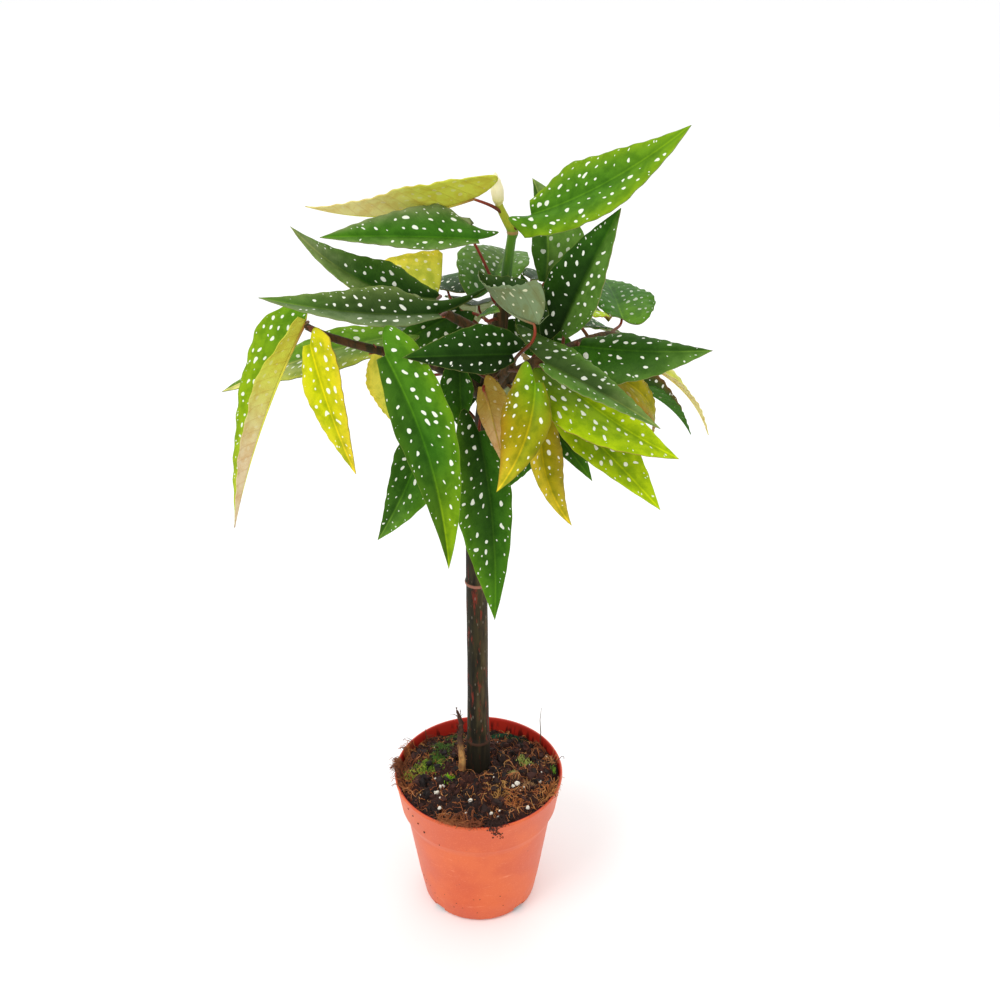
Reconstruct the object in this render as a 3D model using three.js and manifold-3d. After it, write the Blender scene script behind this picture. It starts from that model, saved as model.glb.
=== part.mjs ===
// Potted begonia, grown as a small standard tree: a bare cane in a plastic nursery pot, with a
// crown of long, pointed, lopsided leaves. Millimetres, +Z up. The origin is the centre of the
// pot's underside, and the plant's front looks along -Y.

import * as THREE from 'three';
import { mergeVertices } from 'three/addons/utils/BufferGeometryUtils.js';
import Module from 'manifold-3d';

const wasm = await Module();
wasm.setup();

const clearance = 0.3; // the gap between two pieces that touch
const nearly = 0.001; // two heights closer than this count as the same

// The pot: its outer outline, from the foot up to the rim, as radius and height.
const pot = {
  sides: 40,
  wall: 1.3,
  floor: 1.6,
  height: 107,
  foot: { radius: 38.5, height: 0 },
  footEdge: { radius: 40.4, height: 2.5 },
  lowerBody: { radius: 43.5, height: 20 },
  upperBody: { radius: 51.3, height: 74 },
  collarFoot: { radius: 54.8, height: 81 },
  rimUnder: { radius: 58.4, height: 104.5 },
  rim: { radius: 58.9, height: 107 },
  rimThickness: 1.8,
  notch: { count: 4, width: 10, height: 4.5, depth: 8 },
};

// The soil: heaped in the middle and at the front, and sunk along the back of the pot.
const soil = {
  rings: 5,
  edgeHeight: 103,
  heap: 8,
  frontLift: 2,
  backDrop: 9,
  lumpHeight: 0.9,
  broadLumps: 0.21,
  smallLumps: 0.4,
};

// Every stem is a list of sections: x, y, z and radius. The cane and its side shoots grew as one
// woody piece, and the leading shoot on top of it is still green.
const stems = {
  cane: [
    [0, 0, 64, 7.6], [0, 0, 100, 8.2], [0, 0, 133, 8.1], [0, 0, 136, 8.7], [0, 0, 139, 7.3],
    [0, 0, 200, 7.0], [0, 0, 263, 6.9], [0, 0, 266, 7.9], [0, 0, 270, 7.0], [1, 0, 330, 6.6],
    [5, 0, 374, 6.2], [9, 0, 410, 5.6], [14, 0, 440, 4.8], [17, 0, 460, 4.2],
  ],
  left: [[7, 0, 398, 4.2], [-14, -20, 424, 3.5], [-34, -40, 442, 2.9], [-56, -52, 453, 2.4],
    [-78, -54, 461, 2.2], [-90, -50, 465, 1.9]],
  upperLeft: [[12, 0, 434, 3.6], [-2, -8, 447, 3.0], [-18, -12, 458, 2.6], [-28, -8, 461, 2.1]],
  right: [[9, 0, 402, 4.2], [28, -12, 422, 3.4], [46, -22, 436, 2.9], [62, -6, 436, 2.6],
    [78, 10, 434, 2.3], [88, 20, 428, 2.0]],
  front: [[6, 0, 386, 3.8], [9, -16, 408, 3.3], [16, -30, 426, 2.8], [22, -38, 437, 2.3]],
  back: [[9, 0, 408, 4.0], [7, 20, 424, 3.3], [16, 36, 434, 2.8], [30, 48, 438, 2.3]],
};
const sideShoots = ['left', 'upperLeft', 'right', 'front', 'back'];
const leadingShoot = [
  [17.2, 0, 461, 3.7], [19, 0, 479, 3.0], [21.5, 0, 497, 2.7], [22, 0, 501, 3.4], [20, 0, 505, 2.5],
  [15.5, 0, 514, 2.2], [14, 0, 518, 2.1],
];
stems.leading = leadingShoot;
const budSections = [
  [14.4, 0, 516.5, 2.0], [14, 0, 520, 3.3], [13.4, 0, 525, 3.7], [12.6, 0, 530, 2.9],
  [12.4, 0, 535, 0.6],
];
const drySheathFlatness = 0.45;
const drySheathSections = [
  [-11, -4.5, 94, 2.6], [-11.5, -4.5, 120, 2.8], [-12.5, -2, 134, 2.3], [-12, 1, 148, 1.6],
  [-15, 3, 160, 0.5],
];
const roundness = { cane: 12, shoot: 8, bud: 10, drySheath: 6 }; // sides round each stem
const shootSteps = 2; // rings for each section of a side shoot

// The blade of a leaf, as shares of its own width and length: one half is wider and runs back
// past the joint in a round ear.
const blade = {
  thickness: 0.7,
  ribDepth: 0.6,
  rows: 8,
  rowCrowding: 1.2,
  columns: [-1, -0.5, 0, 0.34, 0.7, 1],
  wideShare: 0.6,
  widestAt: 0.34,
  wideBase: 0.7,
  narrowBase: 0.4,
  earLength: 0.13,
  earReach: 0.3,
  earLean: 0.85,
  waveHeight: 0.02,
  waves: 3,
  waveShift: 2,
  outwardLean: 0.7,
};

// The stalk of a leaf. The shares are of the way from its root to the blade.
const stalk = {
  sides: 5,
  steps: 4,
  rootRadius: 1.7,
  jointRadius: 1.15,
  rise: 0.4,
  leaveShare: 0.35,
  behindShare: 0.15,
  belowShare: 0.3,
  intoBlade: 3,
  underBlade: 0.8,
};

const finishes = {
  pot: { color: 0xc8653b, roughness: 0.5 },
  soil: { color: 0x33201a, roughness: 1 },
  cane: { color: 0x5d4a3c, roughness: 0.8 },
  leadingShoot: { color: 0x6f8a2e, roughness: 0.6 },
  bud: { color: 0xece4b6, roughness: 0.6 },
  drySheath: { color: 0xb08a55, roughness: 0.9 },
};
const leafRoughness = 0.45;
const tones = {
  dark: 0x24562b,
  green: 0x3f8428,
  lime: 0x93b51f,
  yellow: 0xd2c224,
  gold: 0xb9962a,
  tan: 0xc3a183,
  grey: 0x7c9182,
};

// Each leaf: the shoot that it grows from and how far along that shoot, the joint where its stalk
// meets the blade, the tip, the way its upper side looks, and its width. The ear is on the left
// or right half, seen from the stalk. The arch is the rise of the midrib over its length, the bend
// is how far the midrib swings to the right, and the fold is how far each half is turned up. Where
// a leaf differs from the usual blade it also gives its ear's length as lobe, the wide half's share
// of the width, its base and where it is widest, a waist above 1 for a base that narrows in a
// hollow curve, how far the ear rises, or the twist from joint to tip in degrees. A leaf that
// states no face hangs freely.
const leaves = [
  { name: 'top_right', shoot: 'leading', at: 0.5, joint: [32, -12, 515], tip: [112, -44, 573],
    face: [-0.4, -0.6, 0.7], width: 41, ear: 'right', lobe: 0.03, arch: 0.02, bend: 0.07, fold: 12,
    share: 0.53, base: 0.7, widest: 0.5, earRise: 12, tone: 'lime' },
  { name: 'top_left', shoot: 'leading', at: 0.76, joint: [3, -6, 524], tip: [-94, 6, 514],
    face: [0, 0.2, 1], width: 40, ear: 'left', lobe: 0.15, arch: -0.08, bend: 0, fold: 45,
    tone: 'yellow' },
  { name: 'upper_left', shoot: 'cane', at: 0.97, joint: [3, -15, 502], tip: [-81, -40, 512],
    face: [0, -0.55, 0.8], width: 31, ear: 'right', lobe: 0.13, arch: 0.02, bend: 0, fold: 12,
    share: 0.66, base: 0.32, widest: 0.24, waist: 1.8, earRise: 3, tone: 'green' },
  { name: 'left_high', shoot: 'upperLeft', at: 0.8, joint: [-21, -14, 467], tip: [-97, -34, 516],
    face: [-0.2, -0.6, 0.8], width: 27, ear: 'right', lobe: 0.02, arch: -0.01, bend: -0.11, fold: 12,
    base: 0.3, waist: 1.5, tone: 'dark' },
  { name: 'left_long', shoot: 'upperLeft', at: 0.6, joint: [-19, -34, 466], tip: [-111, -70, 490],
    face: [0, -0.5, 0.85], width: 29, ear: 'right', lobe: 0.26, arch: 0.02, bend: -0.06, fold: 16,
    base: 0.35, widest: 0.28, waist: 2, earRise: 18, tone: 'dark' },
  { name: 'back_yellow', shoot: 'upperLeft', at: 0.85, joint: [-22, 23, 454], tip: [-84, 50, 454],
    face: [-0.1, -0.9, 0.4], width: 43, ear: 'right', lobe: 0.02, arch: 0.04, bend: 0, fold: 8,
    base: 0.95, widest: 0.06, tone: 'yellow' },
  { name: 'back_middle', shoot: 'back', at: 0.7, joint: [9, 34, 453], tip: [25, 124, 440],
    face: [0, -0.4, 0.9], width: 45, ear: 'left', arch: 0.12, bend: 0, fold: 8, tone: 'green' },
  { name: 'back_tall', shoot: 'back', at: 0.9, joint: [42, 28, 460], tip: [34, 54, 515],
    face: [-0.1, -0.9, 0.3], width: 33, ear: 'right', arch: 0.04, bend: 0.08, fold: 8, share: 0.7,
    tone: 'grey' },
  { name: 'right_upright', shoot: 'right', at: 0.46, joint: [48, -38, 457], tip: [78, -48, 531],
    face: [-0.5, -0.8, 0.3], width: 36, ear: 'left', arch: 0.03, bend: 0, fold: 16, share: 0.53,
    tone: 'dark' },
  { name: 'back_round', shoot: 'right', at: 0.85, joint: [89, 30, 436], tip: [82, 104, 433],
    face: [0.1, -0.3, 1], width: 40, ear: 'right', arch: 0.04, bend: 0, fold: 8, tone: 'green' },
  { name: 'right_flat', shoot: 'right', at: 0.58, joint: [60, -24, 442], tip: [132, -48, 450],
    face: [0, -0.55, 0.8], width: 34, ear: 'right', arch: 0.02, bend: 0.04, fold: -12, tone: 'dark' },
  { name: 'right_gold', shoot: 'right', at: 0.62, joint: [73, -2, 417], tip: [109, 20, 360],
    face: [0.7, -0.4, 0.6], width: 26, ear: 'right', arch: 0.2, bend: 0, fold: 12, tone: 'gold' },
  { name: 'right_thin', shoot: 'right', at: 0.7, joint: [86, 10, 404], tip: [138, 44, 350],
    face: [0.8, 0.25, 0.55], width: 24, ear: 'left', arch: 0.08, bend: 0, fold: 50, tone: 'dark' },
  { name: 'right_pale', shoot: 'right', at: 1, joint: [106, 40, 402], tip: [153, 66, 338],
    face: [0.8, 0.25, 0.55], width: 20, ear: 'left', arch: 0.08, bend: 0, fold: 20, tone: 'lime' },
  { name: 'front_grey', shoot: 'right', at: 0.36, joint: [39, -66, 451], tip: [97, -118, 438],
    face: [0.15, -0.4, 1], width: 27, ear: 'left', lobe: 0.36, arch: 0.04, bend: 0.02, fold: 12,
    share: 0.6, base: 1, widest: 0.05, earRise: 8, tone: 'grey' },
  { name: 'middle_fold', shoot: 'front', at: 1, joint: [36, -62, 472], tip: [3, -15, 484],
    face: [0.62, 0.3, 0.72], width: 46, ear: 'left', lobe: 0.05, arch: -0.1, bend: 0, fold: 58,
    share: 0.5, base: 0.95, widest: 0.06, twist: -62, tone: 'grey' },
  { name: 'center_dark', shoot: 'front', at: 0.8, joint: [22, -44, 446], tip: [-36, -84, 462],
    face: [0.1, -0.9, 0.5], width: 28, ear: 'right', arch: 0.04, bend: 0, fold: 10, tone: 'dark' },
  { name: 'front_long', shoot: 'left', at: 0.5, joint: [-46, -72, 458], tip: [-13, -112, 348],
    face: [0, -0.9, 0.4], width: 33, ear: 'left', lobe: 0.11, arch: 0.05, bend: -0.06, fold: 10,
    base: 0.9, tone: 'green' },
  { name: 'low_center', shoot: 'front', at: 0.3, joint: [3, -52, 402], tip: [12, -92, 300],
    face: [0.05, -0.9, 0.4], width: 32, ear: 'right', arch: 0.04, bend: -0.03, fold: 10, widest: 0.46,
    tone: 'green' },
  { name: 'low_left', shoot: 'left', at: 0.15, joint: [-26, -30, 398], tip: [-57, -56, 332],
    face: [-0.2, -0.85, 0.4], width: 34, ear: 'left', arch: 0.04, bend: -0.05, fold: 10,
    tone: 'dark' },
  { name: 'left_yellow', shoot: 'left', at: 0.85, joint: [-87, -62, 460], tip: [-64, -84, 392],
    face: [-0.35, -0.85, 0.3], width: 26, ear: 'left', lobe: 0.1, arch: 0.05, bend: 0, fold: 16,
    base: 0.95, widest: 0.2, tone: 'yellow' },
  { name: 'left_drooping', shoot: 'left', at: 1, joint: [-92, -40, 465], tip: [-140, -58, 342],
    face: [-1, 0.1, 0.3], width: 41, ear: 'right', lobe: 0.08, arch: 0.03, bend: -0.02, fold: 62,
    share: 0.68, base: 0.6, widest: 0.18, tone: 'green' },
  { name: 'far_left', shoot: 'left', at: 0.35, joint: [-46, 0, 438], tip: [-155, 18, 393],
    face: [-0.1, -0.4, 0.9], width: 36, ear: 'left', arch: 0.04, bend: 0, fold: 14, tone: 'green' },
  { name: 'left_small', shoot: 'left', at: 0.4, joint: [-50, -38, 440], tip: [-44, -46, 402],
    face: [-0.5, -0.8, 0.2], width: 22, ear: 'right', arch: 0.04, bend: 0, fold: 10, tone: 'yellow' },
  { name: 'center_narrow', shoot: 'front', at: 0.5, joint: [-8, -30, 431], tip: [-7, -38, 395],
    face: [0, -0.9, 0.3], width: 20, ear: 'right', arch: 0.04, bend: 0, fold: 10, tone: 'dark' },
  { name: 'center_tan', shoot: 'front', at: 0.6, joint: [6, -56, 432], tip: [17, -66, 388],
    face: [0.1, 0.9, 0.2], width: 20, ear: 'right', arch: 0.04, bend: 0, fold: 10, tone: 'tan' },
  { name: 'front_olive', shoot: 'front', at: 0.8, joint: [34, -70, 441], tip: [13, -100, 390],
    face: [0, -0.9, 0.4], width: 28, ear: 'right', lobe: 0.18, arch: 0.04, bend: -0.08, fold: 10,
    tone: 'gold' },
  { name: 'front_gold', shoot: 'right', at: 0.08, joint: [39, -36, 401], tip: [57, -58, 343],
    face: [0.2, -0.9, 0.3], width: 20, ear: 'left', arch: 0.05, bend: 0.11, fold: 10, tone: 'gold' },
  { name: 'lime_upper', shoot: 'right', at: 0.27, joint: [47, -44, 433], tip: [112, -88, 404],
    face: [0.2, -0.6, 0.75], width: 42, ear: 'right', arch: 0.06, bend: 0.08, fold: 10, tone: 'lime' },
  { name: 'lime_lower', shoot: 'right', at: 0.18, joint: [45, -34, 412], tip: [106, -72, 362],
    face: [0.1, -0.7, 0.6], width: 34, ear: 'left', arch: 0.06, bend: 0, fold: 10, tone: 'lime' },
  { name: 'right_under', shoot: 'cane', at: 0.8, joint: [36, -10, 396], tip: [70, -30, 357],
    face: [0.2, -0.8, 0.4], width: 20, ear: 'left', arch: 0.06, bend: 0, fold: 10, tone: 'dark' },
  { name: 'low_right_dark', shoot: 'cane', at: 0.77, joint: [38, 14, 382], tip: [19, 22, 322],
    face: [0, -0.9, 0.3], width: 24, ear: 'left', arch: 0.04, bend: 0, fold: 10, tone: 'dark' },
  { name: 'inner_young', shoot: 'cane', at: 0.95, joint: [4, -18, 458], tip: [15, -36, 468],
    face: [0, -0.4, 0.8], width: 11, ear: 'left', arch: 0.04, bend: 0, fold: 10, tone: 'green' },
  { name: 'back_far', shoot: 'back', at: 0.5, joint: [2, 52, 436], tip: [-2, 138, 384], width: 36,
    ear: 'left', arch: 0.08, bend: 0, fold: 10, tone: 'green' },
  { name: 'back_right', shoot: 'back', at: 1, joint: [34, 66, 448], tip: [62, 142, 402], width: 34,
    ear: 'right', arch: 0.08, bend: 0, fold: 10, tone: 'dark' },
  { name: 'back_left', shoot: 'back', at: 0.4, joint: [-16, 50, 446], tip: [-46, 130, 410], width: 34,
    ear: 'right', arch: 0.08, bend: 0, fold: 10, tone: 'dark' },
  { name: 'back_left_low', shoot: 'left', at: 0.2, joint: [-36, 30, 428], tip: [-78, 104, 382],
    width: 33, ear: 'left', arch: 0.08, bend: 0, fold: 10, tone: 'green' },
  { name: 'back_right_low', shoot: 'back', at: 0.8, joint: [60, 48, 424], tip: [108, 106, 376],
    width: 33, ear: 'left', arch: 0.08, bend: 0, fold: 10, tone: 'green' },
  { name: 'under_back', shoot: 'cane', at: 0.8, joint: [10, 32, 398], tip: [10, 86, 312], width: 32,
    ear: 'right', arch: 0.06, bend: 0, fold: 10, tone: 'green' },
  { name: 'under_left', shoot: 'cane', at: 0.77, joint: [-16, 26, 392], tip: [-44, 76, 322], width: 30,
    ear: 'left', arch: 0.06, bend: 0, fold: 10, tone: 'dark' },
  { name: 'under_right', shoot: 'cane', at: 0.83, joint: [38, 34, 404], tip: [60, 84, 330], width: 30,
    ear: 'left', arch: 0.06, bend: 0, fold: 10, tone: 'lime' },
  { name: 'side_left', shoot: 'left', at: 0.15, joint: [-30, 10, 412], tip: [-52, 42, 358], width: 26,
    ear: 'left', arch: 0.06, bend: 0, fold: 10, tone: 'lime' },
  { name: 'side_right', shoot: 'right', at: 0.66, joint: [60, 6, 450], tip: [84, 68, 418], width: 28,
    ear: 'left', lobe: 0.2, arch: 0.06, bend: 0, fold: 10, tone: 'lime' },
  { name: 'inner_left', shoot: 'cane', at: 0.93, joint: [-8, 18, 446], tip: [-52, 17, 422],
    face: [0, -0.9, 0.4], width: 26, ear: 'left', arch: 0.05, bend: 0, fold: 10, tone: 'dark' },
  { name: 'inner_right', shoot: 'right', at: 0.1, joint: [26, 10, 444], tip: [64, 8, 420],
    face: [0, -0.9, 0.4], width: 26, ear: 'right', arch: 0.05, bend: 0, fold: 10, tone: 'dark' },
  { name: 'inner_low', shoot: 'cane', at: 0.84, joint: [-3, 11, 421], tip: [-12, 10, 377],
    face: [0, -0.9, 0.2], width: 22, ear: 'left', arch: 0.05, bend: 0, fold: 10, tone: 'dark' },
  { name: 'inner_dark', shoot: 'right', at: 0.22, joint: [42, -8, 436], tip: [27, -4, 478],
    face: [0, -0.9, 0.4], width: 24, ear: 'left', arch: 0.04, bend: 0, fold: 10, tone: 'dark' },
];

const radians = THREE.MathUtils.degToRad;

// A closed geometry as a solid: its shared corners are welded, and flattened triangles dropped.
function toSolid(geometry) {
  const bare = geometry.clone();
  bare.deleteAttribute('normal');
  bare.deleteAttribute('uv');
  const welded = mergeVertices(bare);
  const corners = welded.getIndex().array;
  const kept = [];
  for (let i = 0; i < corners.length; i += 3) {
    const [a, b, c] = [corners[i], corners[i + 1], corners[i + 2]];
    if (a !== b && b !== c && c !== a) kept.push(a, b, c);
  }
  return new wasm.Manifold(new wasm.Mesh({
    numProp: 3,
    vertProperties: new Float32Array(welded.getAttribute('position').array),
    triVerts: new Uint32Array(kept),
  }));
}

// The largest single body of a solid, without the scraps that a cut may leave.
function largestBody(solid) {
  return solid.decompose().reduce((best, body) => (body.volume() > best.volume() ? body : best));
}

function toGeometry(solid) {
  const mesh = solid.getMesh();
  const geometry = new THREE.BufferGeometry();
  geometry.setAttribute('position', new THREE.BufferAttribute(mesh.vertProperties, 3));
  geometry.setIndex(new THREE.BufferAttribute(mesh.triVerts, 1));
  geometry.computeVertexNormals();
  return geometry;
}

function addPiece(group, name, solid, finish) {
  const material = new THREE.MeshStandardMaterial({ ...finish, metalness: 0 });
  const mesh = new THREE.Mesh(toGeometry(solid), material);
  mesh.name = name;
  group.add(mesh);
}

// A round body turned about +Z from its outline, which runs from the axis back to the axis.
function turned(outline, sides) {
  const points = outline.map(([radius, height]) => new THREE.Vector2(radius, height));
  return new THREE.LatheGeometry(points, sides).rotateX(Math.PI / 2);
}

function potOutline() {
  return [pot.foot, pot.footEdge, pot.lowerBody, pot.upperBody, pot.collarFoot, pot.rimUnder,
    pot.rim].map((level) => [level.radius, level.height]);
}

// The inside of the pot's wall, from the floor up to the rim, as radius and height.
function innerOutline() {
  const levels = [pot.footEdge, pot.lowerBody, pot.upperBody, pot.collarFoot, pot.rimUnder];
  const wall = levels.map((level) => [level.radius - pot.wall, level.height]);
  const foot = [pot.foot.radius - clearance, pot.floor];
  return [foot, ...wall, [pot.rim.radius - pot.rimThickness, pot.height]];
}

// The inside radius of the pot at a height.
function potInside(height) {
  const outline = innerOutline();
  const above = Math.max(outline.findIndex((point) => point[1] >= height), 1);
  const [lowRadius, low] = outline[above - 1];
  const [highRadius, high] = outline[above];
  return THREE.MathUtils.lerp(lowRadius, highRadius, (height - low) / (high - low));
}

// The pot is a thin shell, with drainage notches through the corner of its foot.
function makePot() {
  const inner = innerOutline().reverse();
  const outline = [[0, 0], ...potOutline(), ...inner, [0, pot.floor]];
  const { count, width, height, depth } = pot.notch;
  const cutter = new THREE.BoxGeometry(depth, width, height * 2);
  cutter.translate(pot.footEdge.radius, 0, 0);
  let shell = toSolid(turned(outline, pot.sides));
  for (let i = 0; i < count; i += 1) {
    const turn = (2 * Math.PI * (i + 0.5)) / count;
    shell = shell.subtract(toSolid(cutter.clone().rotateZ(turn)));
  }
  return shell;
}

function soilHeight(x, y) {
  const out = Math.hypot(x, y) / potInside(soil.edgeHeight);
  const heap = soil.heap * (1 - out * out);
  const back = y / pot.rim.radius;
  const side = back < 0 ? -soil.frontLift * back : -soil.backDrop * back ** 1.5;
  const broad = Math.sin(x * soil.broadLumps) * Math.cos(y * soil.broadLumps);
  const small = Math.sin((x - y) * soil.smallLumps);
  return soil.edgeHeight + heap + side + soil.lumpHeight * (broad + small);
}

// The soil fills the pot to just inside its wall. Its top is a set of rings, each corner lifted
// to the soil's height there.
function makeSoil() {
  const floor = pot.floor + clearance;
  const outline = [[0, floor], [potInside(floor) - clearance, floor]];
  for (const level of [pot.footEdge, pot.lowerBody, pot.upperBody, pot.collarFoot]) {
    outline.push([level.radius - pot.wall - clearance, level.height]);
  }
  const top = pot.height;
  for (let ring = soil.rings; ring >= 0; ring -= 1) {
    outline.push([((potInside(soil.edgeHeight) - clearance) * ring) / soil.rings, top]);
  }
  const geometry = turned(outline, pot.sides);
  const place = geometry.getAttribute('position');
  for (let i = 0; i < place.count; i += 1) {
    if (place.getZ(i) < top - nearly) continue;
    const [x, y] = [place.getX(i), place.getY(i)];
    const height = soilHeight(x, y);
    const edge = potInside(height) - clearance;
    const pull = Math.hypot(x, y) > edge ? edge / Math.hypot(x, y) : 1;
    place.setXYZ(i, x * pull, y * pull, height);
  }
  return toSolid(geometry);
}

function stemCurve(sections) {
  return new THREE.CatmullRomCurve3(sections.map(([x, y, z]) => new THREE.Vector3(x, y, z)));
}

// A tapered stem through its sections. Its rings are at the sections and evenly between them, and
// it is grown all round by the given amount. Flatness squashes it across.
function makeStem(sections, sides, stepsBetween, grown = 0, flatness = 1) {
  const curve = stemCurve(sections);
  const spans = sections.length - 1;
  const steps = spans * stepsBetween;
  const geometry = new THREE.CylinderGeometry(1, 1, 1, sides, steps);
  const place = geometry.getAttribute('position');
  const sideways = new THREE.Vector3(0, 1, 0);
  for (let i = 0; i < place.count; i += 1) {
    const along = place.getY(i) + 0.5;
    const span = Math.min(Math.floor(along * spans + nearly), spans - 1);
    const share = along * spans - span;
    const radius = THREE.MathUtils.lerp(sections[span][3], sections[span + 1][3], share) + grown;
    const forward = curve.getTangent(along);
    const across = sideways.clone().addScaledVector(forward, -sideways.dot(forward)).normalize();
    const third = across.clone().cross(forward).negate();
    const lengthened = (along === 1 ? grown : 0) - (along === 0 ? grown : 0);
    const point = curve.getPoint(along).addScaledVector(forward, lengthened);
    point.addScaledVector(third, place.getX(i) * radius);
    point.addScaledVector(across, place.getZ(i) * radius * flatness);
    place.setXYZ(i, point.x, point.y, point.z);
  }
  return toSolid(geometry);
}

function makeCane(grown = 0) {
  let cane = makeStem(stems.cane, roundness.cane, 1, grown);
  for (const name of sideShoots) {
    cane = cane.add(makeStem(stems[name], roundness.shoot, shootSteps, grown));
  }
  return cane;
}

function makeLeadingShoot(grown = 0) {
  return makeStem(leadingShoot, roundness.shoot, 1, grown);
}

function makeBud() {
  return makeStem(budSections, roundness.bud, 1);
}

// A strip of dead bark that peels from the foot of the cane.
function makeDrySheath(grown = 0) {
  return makeStem(drySheathSections, roundness.drySheath, 1, grown, drySheathFlatness);
}

// A blade that hangs freely looks up and out from the plant.
function awayFromPlant(joint, tip) {
  const outward = joint.clone().add(tip).setZ(0).normalize();
  return outward.multiplyScalar(blade.outwardLean).setZ(1);
}

// Where the midrib is at the fraction u of the blade's length, and how the blade lies there.
function bladeFrame(leaf, u) {
  const joint = new THREE.Vector3(...leaf.joint);
  const tip = new THREE.Vector3(...leaf.tip);
  const chord = tip.clone().sub(joint);
  const length = chord.length();
  const along = chord.normalize();
  const face = leaf.face ? new THREE.Vector3(...leaf.face) : awayFromPlant(joint, tip);
  face.addScaledVector(along, -face.dot(along)).normalize();
  const crest = joint.clone().add(tip).multiplyScalar(0.5);
  crest.addScaledVector(face, 2 * leaf.arch * length);
  crest.addScaledVector(along.clone().cross(face), 2 * leaf.bend * length);
  const rib = new THREE.QuadraticBezierCurve3(joint, crest, tip);
  const forward = rib.getTangent(u);
  const up = face.addScaledVector(forward, -face.dot(forward)).normalize();
  up.applyAxisAngle(forward, radians(leaf.twist ?? 0) * u);
  return { length, centre: rib.getPoint(u), forward, up, right: forward.clone().cross(up) };
}

// How far a half reaches from the midrib at the fraction u, as a share of its greatest reach.
function halfReach(u, base, widest, waist) {
  if (u < widest) return base + (1 - base) * Math.sin((Math.PI / 2) * (u / widest)) ** waist;
  const rest = (u - widest) / (1 - widest);
  return 0.5 * (1 - rest) + 0.5 * Math.cos((Math.PI / 2) * rest);
}

// A point of the blade's middle surface. Across is -1 at the narrow half's edge, 0 on the midrib
// and 1 at the edge of the wide half.
function bladePoint(leaf, u, across) {
  const frame = bladeFrame(leaf, u);
  const wide = across > 0;
  const wideShare = leaf.share ?? blade.wideShare;
  const share = wide ? wideShare : 1 - wideShare;
  const wideBase = leaf.base ?? blade.wideBase;
  const base = wide ? wideBase : Math.min(blade.narrowBase, wideBase);
  const widest = wide ? leaf.widest ?? blade.widestAt : blade.widestAt;
  const full = halfReach(u, base, widest, leaf.waist ?? 1);
  const reach = Math.abs(across) * leaf.width * share * full;
  const earSide = leaf.ear === 'right' ? 1 : -1;
  const fold = radians(leaf.fold);
  const wave = Math.sin(2 * Math.PI * blade.waves * u + (wide ? 0 : blade.waveShift));
  const waveLift = leaf.width * blade.waveHeight * across * across * wave * (1 - u);
  const point = frame.centre.clone();
  point.addScaledVector(frame.right, reach * Math.cos(fold) * (wide ? earSide : -earSide));
  point.addScaledVector(frame.up, reach * Math.sin(fold) + waveLift);
  if (wide && u < blade.earReach) {
    const hook = Math.sin(Math.PI * across ** blade.earLean) * (1 - u / blade.earReach) ** 2;
    point.addScaledVector(frame.forward, -frame.length * (leaf.lobe ?? blade.earLength) * hook);
    point.addScaledVector(frame.up, (leaf.earRise ?? 0) * hook * hook);
  }
  return point;
}

// A blade is one sheet, laid out twice: raised for the upper face and lowered for the lower one,
// with a strip round the edge. Both faces are split into the same triangles.
function makeBlade(leaf) {
  const across = blade.columns.length - 1;
  const sheet = new THREE.PlaneGeometry(1, 1, across, blade.rows);
  const place = sheet.getAttribute('position');
  const perRow = across + 1;
  for (let i = 0; i < place.count; i += 1) {
    const u = (Math.floor(i / perRow) / blade.rows) ** blade.rowCrowding;
    const point = bladePoint(leaf, u, blade.columns[i % perRow]);
    place.setXYZ(i, point.x, point.y, point.z);
  }
  sheet.computeVertexNormals();
  const normal = sheet.getAttribute('normal');
  const tipUp = bladeFrame(leaf, 1).up;
  const middleRow = Math.round(blade.rows / 2);
  const middle = perRow * middleRow + blade.columns.indexOf(0);
  const middleNormal = new THREE.Vector3().fromBufferAttribute(normal, middle);
  const middleUp = bladeFrame(leaf, (middleRow / blade.rows) ** blade.rowCrowding).up;
  const facing = middleNormal.dot(middleUp) > 0 ? 1 : -1;
  const corners = [];
  for (const side of [1, -1]) {
    for (let i = 0; i < place.count; i += 1) {
      const up = new THREE.Vector3().fromBufferAttribute(normal, i).multiplyScalar(facing);
      if (i >= place.count - perRow) up.copy(tipUp);
      const row = Math.floor(i / perRow);
      const rib = blade.columns[i % perRow] === 0 ? blade.ribDepth * (1 - row / blade.rows) : 0;
      const offset = side > 0 ? blade.thickness / 2 : -blade.thickness / 2 - rib;
      const point = new THREE.Vector3().fromBufferAttribute(place, i).addScaledVector(up, offset);
      corners.push(point.x, point.y, point.z);
    }
  }
  const count = place.count;
  const top = Array.from(sheet.getIndex().array);
  const triangles = [];
  for (let i = 0; i < top.length; i += 3) {
    const [a, b, c] = [top[i], top[i + 1], top[i + 2]];
    triangles.push([a, b, c], [count + c, count + b, count + a]);
  }
  const border = [];
  for (let i = 0; i < perRow; i += 1) border.push(i);
  for (let row = 1; row <= blade.rows; row += 1) border.push(row * perRow + across);
  for (let i = across - 1; i >= 0; i -= 1) border.push(blade.rows * perRow + i);
  for (let row = blade.rows - 1; row > 0; row -= 1) border.push(row * perRow);
  for (let i = 0; i < border.length; i += 1) {
    const here = border[i];
    const next = border[(i + 1) % border.length];
    triangles.push([here, next, count + next], [here, count + next, count + here]);
  }
  const order = facing > 0 ? triangles : triangles.map(([a, b, c]) => [a, c, b]);
  const geometry = new THREE.BufferGeometry();
  geometry.setAttribute('position', new THREE.Float32BufferAttribute(corners, 3));
  geometry.setIndex(order.flat());
  return toSolid(geometry);
}

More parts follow.
